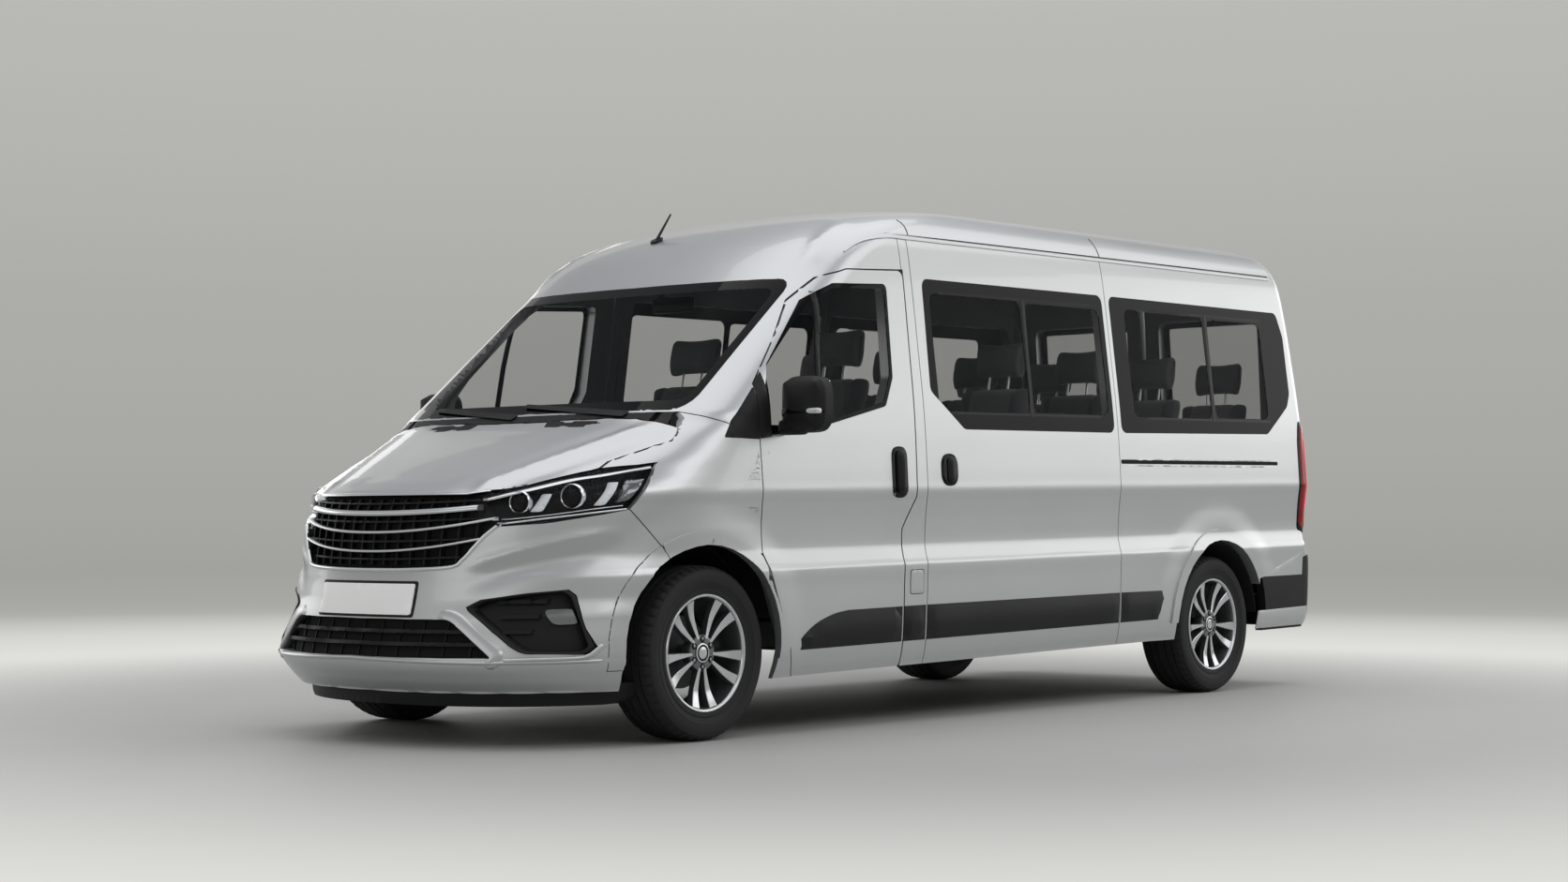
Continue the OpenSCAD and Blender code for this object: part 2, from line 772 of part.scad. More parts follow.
// Radius of a many-sided cut whose flats clear a true circle
function clear_of_round(r) = (r + seat_gap) / cos(180 / $fn);
module liner_place(axle_x, side) {
  translate([axle_x, side == left ? liner_out_y : -liner_in_y, tyre_r + 8])
    rotate([90, 0, 0]) children();
}
module floor_pan() {
  color("dimgray") difference() {
    intersection() {
      raked() hull_form(wall_t + seat_gap);
      translate([tail_x + 120, -half_w, floor_z - floor_t])
        cube([floor_front_x - tail_x - 120, body_w, floor_t]);
    }
    for (side = [left, right])
      translate([rear_axle_x, side == left ? half_w : -liner_in_y + seat_gap, tyre_r + 8])
        rotate([90, 0, 0])
          cylinder(r = clear_of_round(liner_r + liner_t), h = half_w - liner_in_y + seat_gap);
    for (side = [left, right])
      translate([door_rear_x - 40, side == left ? half_w - wall_t - 30 : -half_w, 0])
        cube([2000, wall_t + 30, 1000]);
  }
}
module frame_rails() {
  color("black") for (side = [left, right]) difference() {
    translate([rail_rear_x, side * rail_y - rail_w / 2, rail_z])
      cube([rail_front_x - rail_rear_x, rail_w, rail_h]);
    translate([rear_axle_x, side * rail_y - rail_w, tyre_r]) rotate([-90, 0, 0])
      cylinder(r = axle_clear_r, h = 2 * rail_w);
    for (x = [0, tow_pitch])
      translate([rail_rear_x + tow_edge + x, side * rail_y, rail_z - 1])
        cylinder(r = tow_hole_r, h = tow_hole_depth + 1);
  }
}
engine_side_gap = 55;
engine_w = 2 * (rail_y - rail_w / 2 - engine_side_gap);
engine_h = 520;
engine_len = 800;
cross_h = 60;
cross_top_z = rail_z + cross_h;
module engine_block() {
  color("gray") translate([front_axle_x - 380, -engine_w / 2, cross_top_z])
    cube([engine_len, engine_w, engine_h]);
}
module wheel_liners() {
  color("black") for (axle_x = [front_axle_x + arch_ahead, rear_axle_x], side = [left, right])
    liner_place(axle_x, side) difference() {
      cylinder(r = liner_r + liner_t, h = liner_out_y - liner_in_y);
      translate([0, 0, -1]) cylinder(r = liner_r, h = liner_out_y - liner_in_y + 2);
      translate([-600, -650, -1]) cube([1200, 700, liner_out_y - liner_in_y + 2]);
    }
}
front_seat_w = seat_w + 40;
driver_y = half_w - 290 - front_seat_w / 2;
bulkhead_t = 40;
dash_front_x = nose_x - 1050;
dash_top_z = 1190;
dash_y = half_w - 190;
helm_x = dash_front_x - 640;
helm_y = driver_y - 30;
helm_z = 1090;
helm_tilt = 62;
column_r = 25;
module column(r, reach) {
  translate([helm_x, helm_y, helm_z]) rotate([0, -helm_tilt, 0]) translate([0, 0, -reach])
    cylinder(r = r, h = reach - 20);
}
module dashboard() {
  color("dimgray") difference() {
    side_prism(-dash_y, dash_y) polygon([
      [floor_front_x + seat_gap, rail_z + rail_h], [floor_front_x + seat_gap, 880],
      [dash_front_x - 550, 900], [dash_front_x - 570, 1060], [dash_front_x - 500, 1130],
      [dash_front_x - 300, 1170], [dash_front_x, dash_top_z], [dash_front_x, 1100],
      [dash_front_x - 380, 860], [floor_front_x + bulkhead_t, 850],
      [floor_front_x + bulkhead_t, rail_z + rail_h]
    ]);
    column(column_r + seat_gap, 160);
  }
}
module steering_wheel() {
  color("black") {
    translate([helm_x, helm_y, helm_z]) rotate([0, -helm_tilt, 0]) {
      rotate_extrude() translate([helm_r - 15, 0]) circle(15);
      translate([0, 0, -40]) cylinder(r = 55, h = 50);
      for (a = [90, 210, 330])
        rotate([0, 0, a]) translate([40, -15, -12]) cube([helm_r - 60, 30, 16]);
    }
    column(column_r, 140);
  }
}
// One seat: a padded profile on a leg that stands leg_y beside the seat's middle
module seat(x, y, w, leg_y) {
  translate([x, y, floor_z]) {
    translate([110, leg_y - 40, 0]) cube([290, 80, 290]);
    side_prism(-w / 2, w / 2) polygon([
      [100, 275], [20, 300], [-30, 380], [-155, 1010], [-105, 1035], [-55, 1020],
      [70, 440], [110, 405], [480, 425], [520, 390], [510, 305], [420, 275]
    ]);
    side_prism(-w / 3, w / 3) polygon([
      [-140, 950], [-170, 1050], [-190, 1205], [-155, 1228], [-115, 1205], [-85, 1055], [-72, 950]
    ]);
  }
}
front_seat_x = door_rear_x + 20;
first_row_x = slide_front_x - 1025;
// Seats across the van: middle of the seat, and of its leg from there
FRONT_SEATS = [[driver_y, 0], [30 - driver_y, 0]];
wall_room_left = 220;
wall_room_right = 180;
seat_pitch = seat_w + 20;
aisle_w = 160;
pair_room = body_w - wall_room_left - wall_room_right - seat_w - aisle_w;
ROW_SEATS = concat(
  [[half_w - wall_room_left - seat_w / 2, -155]],
  [
    for (i = [0 : floor(pair_room / seat_pitch) - 1])
      [wall_room_right + seat_w / 2 - half_w + i * seat_pitch, i == 0 ? 185 : 0]
  ]
);
row_count = floor((first_row_x - tail_x) / row_pitch) + 1;
module front_seats() {
  color("dimgray") for (s = FRONT_SEATS) seat(front_seat_x, s[0], front_seat_w, s[1]);
}
// The rear rows clear the wheel liners
arch_room = 4;
module rear_seats() {
  color("dimgray") difference() {
    for (i = [0 : row_count - 1], s = ROW_SEATS)
      seat(first_row_x - i * row_pitch, s[0], seat_w, s[1]);
    for (side = [left, right])
      liner_place(rear_axle_x, side)
        translate([0, 0, -arch_room])
          cylinder(r = liner_r + liner_t + arch_room, h = liner_out_y - liner_in_y + 2 * arch_room);
  }
}

// Hinge pins and arms on the body

module door_hinges() {
  color("dimgray") for (side = [left, right]) mirror([0, side == left ? 0 : 1, 0]) {
    for (z = door_hinge_heights)
      translate([door_pin_x, door_pin_y, z + lift(door_pin_x)]) {
        translate([0, 0, -pin_reach]) cylinder(r = pin_r, h = hinge_h + 2 * pin_reach);
        cylinder(r = arm_w / 2, h = hinge_h);
        translate([-arm_w / 2, -arm_in - arm_w / 2, 0]) cube([arm_w, arm_in + arm_w / 2, hinge_h]);
        translate([-arm_w / 2, -arm_in - arm_w / 2, 0])
          cube([door_front_x + post_back - seat_gap - door_pin_x + arm_w / 2, arm_w, hinge_h]);
      }
    for (z = rear_hinge_heights)
      translate([rear_pin_x, rear_pin_y, z + lift(rear_pin_x)]) {
        translate([0, 0, -hinge_h / 2]) cylinder(r = pin_r, h = 1.5 * hinge_h);
        cylinder(r = barrel_r, h = hinge_h / 2);
        translate([-barrel_r, -pin_r, 0]) cube([leaf_depth, 2 * pin_r, hinge_h / 2]);
      }
    translate([hood_pin_x, hood_ear_y + ear_t / 2 + 22, hood_pin_z]) rotate([90, 0, 0]) {
      cylinder(r = pin_r, h = ear_t + 30);
      translate([-8, dash_top_z - 40 - hood_pin_z, 0]) cube([16, hood_pin_z + 48 - dash_top_z, 14]);
      translate([dash_front_x + seat_gap - hood_pin_x, dash_top_z - 40 - hood_pin_z, 0])
        cube([hood_pin_x - dash_front_x - seat_gap, 20, 14]);
    }
  }
}

// Wheels, axles and suspension

rim_w = 190;
module wheel_place(axle_x, side) {
  translate([axle_x, side * wheel_y, tyre_r]) rotate([side == left ? -90 : 90, 0, 0]) children();
}
module tyre() {
  color("black") rotate_extrude($fn = 96)
    polygon([
      [rim_r, -rim_w / 2], [rim_r + 25, -tyre_w / 2 + 4], [rim_r + 60, -tyre_w / 2],
      [tyre_r - 25, -tyre_w / 2 + 12], [tyre_r, -tyre_w / 2 + 30], [tyre_r, tyre_w / 2 - 30],
      [tyre_r - 25, tyre_w / 2 - 12], [rim_r + 60, tyre_w / 2], [rim_r + 25, tyre_w / 2 - 4],
      [rim_r, rim_w / 2]
    ]);
}
module tyre_fl() wheel_place(front_axle_x, left) tyre();
module tyre_fr() wheel_place(front_axle_x, right) tyre();
module tyre_rl() wheel_place(rear_axle_x, left) tyre();
module tyre_rr() wheel_place(rear_axle_x, right) tyre();

hub_r = 72;
arm_low_z = 56;
arm_high_z = 88;
arm_spread = 13.5;
arm_in_w = 16;
arm_out_w = 44;
cap_r = 36;
bolt_count = 6;
bolt_hole_r = 10;
bolt_circle_r = 55;
module rim() {
  color("lightgray") {
    rotate_extrude($fn = 96) polygon([
      [rim_r - seat_gap, -rim_w / 2], [rim_r + 10, -rim_w / 2 - 4], [rim_r + 10, -rim_w / 2 - 12],
      [rim_r - 8, -rim_w / 2 - 12], [rim_r - 20, -rim_w / 2 + 30], [rim_r - 20, rim_w / 2 - 30],
      [rim_r - 8, rim_w / 2 + 12], [rim_r + 10, rim_w / 2 + 12], [rim_r + 10, rim_w / 2 + 4],
      [rim_r - seat_gap, rim_w / 2]
    ]);
    difference() {
      union() {
        translate([0, 0, 40]) cylinder(r = hub_r, h = 40);
        translate([0, 0, 40]) cylinder(r = cap_r, h = 50);
      }
      translate([0, 0, 30]) cylinder(r = stub_r + run_gap, h = 52);
      for (i = [0 : bolt_count - 1])
        rotate([0, 0, i * 360 / bolt_count]) translate([bolt_circle_r, 0, 60])
          cylinder(r = bolt_hole_r, h = 50, $fn = 16);
    }
    for (i = [0 : arm_count / 2 - 1], way = [-1, 1])
      rotate([0, 0, 90 + i * 720 / arm_count + way * arm_spread])
        translate([0, 0, arm_low_z]) linear_extrude(arm_high_z - arm_low_z) polygon([
          [hub_r - 12, -way * 4 - arm_in_w / 2], [rim_r - 12, -arm_out_w / 2],
          [rim_r - 12, arm_out_w / 2], [hub_r - 12, -way * 4 + arm_in_w / 2]
        ]);
  }
}
module rim_fl() wheel_place(front_axle_x, left) rim();
module rim_fr() wheel_place(front_axle_x, right) rim();
module rim_rl() wheel_place(rear_axle_x, left) rim();
module rim_rr() wheel_place(rear_axle_x, right) rim();

steer_y = wheel_y - steer_in;
stub_end = 80;
king_r = 14;
king_low_z = 200;
king_h = 290;
sleeve_r = 30;
sleeve_h = 190;
disc_r = 140;
arm_h = 30;
module knuckle(side) {
  color("dimgray") difference() {
    union() {
      translate([front_axle_x, side * steer_y, tyre_r - sleeve_h / 2]) cylinder(r = sleeve_r, h = sleeve_h);
      wheel_place(front_axle_x, side) {
        translate([0, 0, -steer_in]) cylinder(r = stub_r, h = steer_in + stub_end);
        translate([0, 0, -50]) cylinder(r = disc_r, h = 24);
      }
    }
    translate([front_axle_x, side * steer_y, 0]) cylinder(r = king_r + run_gap, h = 2 * tyre_r);
  }
}
module knuckle_left() knuckle(left);
module knuckle_right() knuckle(right);

module front_suspension() {
  color("black") {
    translate([front_axle_x - 60, -rail_y + rail_w / 2 + seat_gap, rail_z])
      cube([120, 2 * rail_y - rail_w - 2 * seat_gap, cross_h]);
    for (side = [left, right]) mirror([0, side == left ? 0 : 1, 0]) {
      translate([front_axle_x, steer_y, king_low_z]) cylinder(r = king_r, h = king_h);
      for (z = [king_low_z, king_low_z + king_h - arm_h])
        translate([front_axle_x - 35, rail_y + rail_w / 2 + seat_gap, z])
          cube([70, steer_y - rail_y - rail_w / 2, arm_h]);
      translate([front_axle_x - 35, rail_y + rail_w / 2 + seat_gap, king_low_z])
        cube([70, 40, king_h]);
    }
  }
}
axle_r = 45;
saddle_h = axle_clear_r - axle_r - seat_gap;
module rear_axle() {
  color("black") {
    translate([rear_axle_x, -wheel_y + 110, tyre_r]) rotate([-90, 0, 0])
      cylinder(r = axle_r, h = track - 220);
    for (side = [left, right]) {
      wheel_place(rear_axle_x, side) {
        translate([0, 0, -150]) cylinder(r = stub_r, h = 150 + stub_end);
        translate([0, 0, -50]) cylinder(r = disc_r, h = 24);
      }
      translate([rear_axle_x - 15, side * rail_y - 20, tyre_r + axle_r - 5])
        cube([30, 40, saddle_h + 3]);
    }
  }
}
tank_len = 700;
tank_w = 300;
tank_h = 170;
module underbody() {
  color("gray") translate([-tank_len / 2, -tank_w / 2, floor_z - floor_t - tank_h])
    cube([tank_len, tank_w, tank_h]);
}

// Outside fittings

mirror_x = door_front_x - 185;
mirror_z = 1215;
mirror_d = 100;
mirror_w = 190;
mirror_h = 225;
mirror_out = 15;
module mirror_head(side) {
  color("black") raked() {
    intersection() {
      skin(-mirror_out - 60, -seat_gap);
      half_prism(side) translate([mirror_x, mirror_z - 90]) square([mirror_d, 190]);
    }
    mirror([0, side == left ? 0 : 1, 0])
      hull() for (x = [0.25, 0.75], y = [0.15, 0.85], z = [0.15, 0.85])
        translate([mirror_x + x * mirror_d, half_w + mirror_out + y * mirror_w, mirror_z + z * mirror_h])
          sphere(r = 25, $fn = 12);
  }
}
module mirror_left() mirror_head(left);
module mirror_right() mirror_head(right);
// Wiper arms in the front view: pivot y and height, tip y and height
WIPERS = [[screen_half - 232, 1290, 0, 1335], [-20, 1290, 232 - screen_half, 1335]];
wiper_w = 22;
module wipers() {
  color("black") raked() intersection() {
    skin(-wiper_w / 2, -seat_gap);
    front_prism(door_rear_x, nose_x) for (w = WIPERS) hull() {
      translate([w[0], w[1]]) circle(wiper_w / 2, $fn = 8);
      translate([w[2], w[3]]) circle(wiper_w / 3, $fn = 8);
    }
  }
}
antenna_x = door_rear_x + 350;
antenna_y = -210;
antenna_z = 2090;
antenna_len = 120;
module antenna() {
  color("black") {
    raked() intersection() {
      skin(-14, -seat_gap);
      translate([antenna_x, antenna_y, 1900]) cylinder(r = 28, h = 400, $fn = 12);
    }
    raked() difference() {
      hull() {
        translate([antenna_x, antenna_y, antenna_z]) sphere(r = 7, $fn = 8);
        translate([antenna_x - 90, antenna_y, antenna_z + antenna_len]) sphere(r = 4, $fn = 8);
      }
      hull_form(-seat_gap);
    }
  }
}

floor_pan();
frame_rails();
engine_block();
wheel_liners();
roof_and_pillars();
body_side_left();
body_side_right();
sliding_door_left();
sliding_door_right();
fenders();
hood();
cowl();
front_bumper();
grille();
headlamps();
windscreen();
front_door_left();
front_door_right();
front_glass_left();
front_glass_right();
mirror_left();
mirror_right();
side_glass();
rear_door_left();
rear_door_right();
rear_glass_left();
rear_glass_right();
tail_lamps();
rear_bumper();
dashboard();
steering_wheel();
front_seats();
rear_seats();
tyre_fl();
tyre_fr();
tyre_rl();
tyre_rr();
rim_fl();
rim_fr();
rim_rl();
rim_rr();
knuckle_left();
knuckle_right();
front_suspension();
rear_axle();
underbody();
door_hinges();
wipers();
antenna();
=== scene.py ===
"""Looks of a long passenger van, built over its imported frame.

Units are metres, in the frame of the CAD model: +X to the nose, +Y to the van's left, +Z up, with
the origin on the ground at mid length.
"""

from __future__ import annotations

import json
import logging
import math
from dataclasses import dataclass
from enum import Enum
from functools import cache
from typing import Callable, Sequence

import bmesh
import bpy
import numpy as np
from mathutils import Matrix, Vector

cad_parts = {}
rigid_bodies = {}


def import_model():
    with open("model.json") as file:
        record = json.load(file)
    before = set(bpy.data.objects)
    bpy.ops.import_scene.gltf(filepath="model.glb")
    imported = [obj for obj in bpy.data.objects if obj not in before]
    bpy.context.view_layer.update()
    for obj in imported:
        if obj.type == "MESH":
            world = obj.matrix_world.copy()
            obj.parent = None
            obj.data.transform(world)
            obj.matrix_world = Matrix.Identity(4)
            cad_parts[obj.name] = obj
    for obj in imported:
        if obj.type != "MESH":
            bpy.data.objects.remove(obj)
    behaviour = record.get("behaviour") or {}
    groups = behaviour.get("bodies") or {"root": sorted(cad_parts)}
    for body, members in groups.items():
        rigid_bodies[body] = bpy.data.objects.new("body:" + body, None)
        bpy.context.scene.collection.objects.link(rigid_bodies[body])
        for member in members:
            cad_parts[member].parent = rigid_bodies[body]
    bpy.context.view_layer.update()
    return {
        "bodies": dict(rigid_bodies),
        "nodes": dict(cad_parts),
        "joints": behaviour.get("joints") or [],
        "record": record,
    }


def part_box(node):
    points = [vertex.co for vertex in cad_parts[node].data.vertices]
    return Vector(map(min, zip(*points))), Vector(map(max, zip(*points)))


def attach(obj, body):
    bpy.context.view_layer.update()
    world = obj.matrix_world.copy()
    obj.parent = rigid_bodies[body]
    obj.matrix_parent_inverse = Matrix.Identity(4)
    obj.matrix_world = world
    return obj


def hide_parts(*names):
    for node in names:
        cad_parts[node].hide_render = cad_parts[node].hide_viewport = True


LOG = logging.getLogger("van")

Array = np.ndarray
Obj = bpy.types.Object
Points = list[tuple[float, float]]
Outline = Sequence[tuple[float, float]]
Socket = bpy.types.NodeSocket
Tree = bpy.types.NodeTree
Triple = tuple[float, float, float]


class Side(Enum):
    """Side of the van, with the sign of its Y."""

    LEFT = 1
    RIGHT = -1

    @property
    def word(self) -> str:
        """Name used in node and piece names."""
        return self.name.lower()


class View(Enum):
    """Side from which an outline is drawn."""

    SIDE = "side"
    FRONT = "front"
    REAR = "rear"
    TOP = "top"


FRONT = {"view": View.FRONT}
REAR = {"view": View.REAR}

# Body skin


@dataclass(frozen=True)
class BodySkin:
    """Smooth outer skin of the body, drawn through level sections.

    Columns of a section: height, nose set back, depth of the nose curve, side set in, bluntness of
    the nose curve, tail set back, radius of the rear corners. Heights are before the rake.
    """

    length: float = 5.7
    width: float = 1.92
    rake: float = math.tan(math.radians(1.0))
    sections: tuple[tuple[float, ...], ...] = (
        (0.25, 0.1, 0.96, 0.035, 2.4, 0.025, 0.11),
        (0.3, 0.045, 0.985, 0.022, 2.4, 0.008, 0.11),
        (0.365, 0.0, 1.0, 0.012, 2.4, 0.0, 0.11),
        (0.43, 0.015, 1.0, 0.008, 2.4, 0.0, 0.11),
        (0.52, 0.045, 1.0, 0.005, 2.4, 0.0, 0.11),
        (0.6, 0.062, 1.0, 0.003, 2.3, 0.002, 0.11),
        (0.668, 0.075, 1.0, 0.0, 2.3, 0.036, 0.11),
        (0.7, 0.079, 1.0, 0.009, 2.3, 0.037, 0.11),
        (0.76, 0.086, 1.0, 0.019, 2.3, 0.037, 0.11),
        (0.85, 0.098, 1.0, 0.015, 2.3, 0.037, 0.11),
        (0.93, 0.118, 1.0, 0.007, 2.3, 0.037, 0.11),
        (0.986, 0.15, 0.985, 0.0, 2.3, 0.037, 0.11),
        (1.02, 0.21, 0.955, 0.002, 2.35, 0.037, 0.11),
        (1.06, 0.305, 0.89, 0.004, 2.4, 0.038, 0.11),
        (1.11, 0.43, 0.795, 0.007, 2.5, 0.04, 0.11),
        (1.16, 0.562, 0.69, 0.01, 2.6, 0.042, 0.11),
        (1.21, 0.7, 0.58, 0.013, 2.8, 0.044, 0.11),
        (1.25, 0.805, 0.5, 0.016, 3.0, 0.046, 0.11),
        (1.3, 0.875, 0.45, 0.02, 3.0, 0.048, 0.11),
        (1.6, 1.24, 0.42, 0.055, 3.0, 0.066, 0.11),
        (1.88, 1.58, 0.4, 0.09, 3.0, 0.092, 0.112),
        (1.95, 1.668, 0.4, 0.1, 3.0, 0.1, 0.114),
        (2.01, 1.755, 0.41, 0.11, 2.9, 0.11, 0.118),
        (2.055, 1.838, 0.42, 0.122, 2.8, 0.122, 0.122),
        (2.1, 1.94, 0.45, 0.14, 2.7, 0.14, 0.13),
        (2.14, 2.055, 0.48, 0.168, 2.6, 0.165, 0.145),
        (2.175, 2.195, 0.5, 0.212, 2.5, 0.205, 0.17),
        (2.205, 2.37, 0.52, 0.285, 2.4, 0.27, 0.21),
        (2.225, 2.6, 0.5, 0.395, 2.3, 0.38, 0.25),
        (2.238, 2.95, 0.48, 0.56, 2.2, 0.56, 0.28),
    )

    @property
    def heights(self) -> Array:
        """Heights of the sections, before the rake."""
        return np.array([row[0] for row in self.sections])

    def columns(self, height: Array) -> list[Array]:
        """Section values at any heights, on shape-keeping cubic curves.

        Args:
            height: Heights before the rake.

        Returns:
            One array per column after the height.
        """
        z = self.heights
        h = np.clip(height, z[0], z[-1])
        i = np.clip(np.searchsorted(z, h) - 1, 0, len(z) - 2)
        step = z[i + 1] - z[i]
        t = (h - z[i]) / step
        found = []
        for column in range(1, 7):
            v = np.array([row[column] for row in self.sections])
            slope = self._slopes(z, v)
            found.append(
                v[i] * (1 + 2 * t) * (1 - t) ** 2
                + slope[i] * step * t * (1 - t) ** 2
                + v[i + 1] * t * t * (3 - 2 * t)
                + slope[i + 1] * step * t * t * (t - 1)
            )
        return found

    @staticmethod
    def _slopes(z: Array, v: Array) -> Array:
        """Slopes of a cubic curve that adds no bump of its own between the points.

        Args:
            z: Heights.
            v: Values there.

        Returns:
            The slopes.
        """
        step = np.diff(z)
        rise = np.diff(v) / step
        slope = np.zeros(len(z))
        slope[0], slope[-1] = rise[0], rise[-1]
        same = rise[:-1] * rise[1:] > 0
        w1 = 2 * step[1:] + step[:-1]
        w2 = step[1:] + 2 * step[:-1]
        with np.errstate(divide="ignore", invalid="ignore"):
            mean = (w1 + w2) / (w1 / rise[:-1] + w2 / rise[1:])
        slope[1:-1] = np.where(same, mean, 0.0)
        return slope

    def height_of(self, points: Array) -> Array:
        """Heights of points before the rake."""
        return points[:, 2] + self.rake * points[:, 0]

    def outside(self, points: Array) -> Array:
        """How far points lie outside the skin, measured about level.

        Args:
            points: Rows of x, y, z.

        Returns:
            One distance per point, negative inside.
        """
        nose, depth, side, blunt, tail, corner = self.columns(self.height_of(points))
        x, y = points[:, 0], np.abs(points[:, 1])
        half = self.width / 2 - side
        start = self.length / 2 - nose - depth
        u = np.maximum(x - start, 0) / depth
        front = ((u**blunt + (y / half) ** blunt) ** (1 / blunt) - 1) * half
        dx = (-self.length / 2 + tail + corner) - x
        dy = y - (half - corner)
        out = np.hypot(np.maximum(dx, 0), np.maximum(dy, 0)) + np.minimum(np.maximum(dx, dy), 0)
        return np.where(x >= start, front, out - corner)

    def _change(self, points: Array, reach: float) -> Array:
        """Change of the distance outside the skin over a reach both ways along each axis."""
        moves = np.eye(3) * reach
        return np.column_stack([self.outside(points + move) - self.outside(points - move) for move in moves])

    def normals(self, points: Array) -> Array:
        """Unit normals of the skin at points, pointing out."""
        slope = self._change(points, 0.0015)
        return slope / np.maximum(np.linalg.norm(slope, axis=1), 1e-12)[:, None]

    def settle(self, points: Array, out: Array) -> Array:
        """Moves points level, or up where the skin is flat, until they lie on the skin.

        Args:
            points: Rows of x, y, z near the skin.
            out: Distances outside the skin at which they end.

        Returns:
            The moved points.
        """
        moved = points.copy()
        reach = 0.001
        for _ in range(3):
            normal = self.normals(moved)
            miss = self.outside(moved) - out
            steep = np.einsum("ij,ij->i", self._change(moved, reach) / (2 * reach), normal)
            moved = moved - normal * (miss / np.maximum(steep, 0.2))[:, None]
        return moved

    def seen(
        self, across: Array, height: Array, out: Array, view: View, side: float = 1.0
    ) -> Array:
        """Points on the skin, or off it by some distance, seen from one side.

        Args:
            across: X of the points seen from the side or the top, or Y seen from an end.
            height: Heights before the rake, or Y seen from the top.
            out: Distances outside the skin.
            view: Side from which they are seen.
            side: Sign of Y for a side view.

        Returns:
            Rows of x, y, z.
        """
        roof = self.sections[-1][0]
        start = {View.SIDE: self.width / 2, View.TOP: roof}.get(view, self.length / 2)
        limits = (1.9, roof) if view is View.TOP else (0.0, start + 0.06)
        place = np.full(len(across), start)
        for _ in range(40):
            points = self._placed(across, height, place, view)
            miss = self.outside(points) - out
            slope = (self.outside(self._placed(across, height, place + 1e-4, view)) - out - miss) / 1e-4
            place = np.clip(place - np.clip(miss / np.maximum(slope, 0.05), -0.15, 0.15), *limits)
        if view is View.TOP:
            points[:, 2] += out
        points[:, 1] *= side
        return points

    def _placed(self, across: Array, height: Array, place: Array, view: View) -> Array:
        """Rows of x, y, z for places along the line of sight.

        Args:
            across: As in seen.
            height: As in seen.
            place: Places along the line of sight.
            view: Side from which they are seen.

        Returns:
            The rows.
        """
        if view is View.SIDE:
            return np.column_stack((across, place, height - self.rake * across))
        if view is View.TOP:
            return np.column_stack((across, height, place - self.rake * across))
        x = place if view is View.FRONT else -place
        return np.column_stack((x, across, height - self.rake * x))


SKIN = BodySkin()


# Meshes


def node(name: str) -> Obj:
    """CAD node of that name."""
    return bpy.data.objects[name]


def mesh_points(mesh: bpy.types.Mesh) -> Array:
    """Vertices of a mesh as rows of x, y, z."""
    flat = np.empty(len(mesh.vertices) * 3)
    mesh.vertices.foreach_get("co", flat)
    return flat.reshape(-1, 3)


def new_object(name: str, mesh: bpy.types.Mesh) -> Obj:
    """Object at the origin that shows a mesh."""
    obj = bpy.data.objects.new(name, mesh)
    bpy.context.scene.collection.objects.link(obj)
    return obj


def bisect(form: bmesh.types.BMesh, axis: int, place: float) -> None:
    """Cuts every face of a form across one axis, along the rake for a cut at some height.

    Args:
        form: The form.
        axis: Number of the axis.
        place: Place along the axis.
    """
    point, normal = Vector(), Vector((SKIN.rake, 0, 0) if axis == 2 else (0, 0, 0))
    point[axis] = place
    normal[axis] = 1.0
    everything = form.verts[:] + form.edges[:] + form.faces[:]
    bmesh.ops.bisect_plane(form, geom=everything, dist=1e-6, plane_co=point, plane_no=normal)


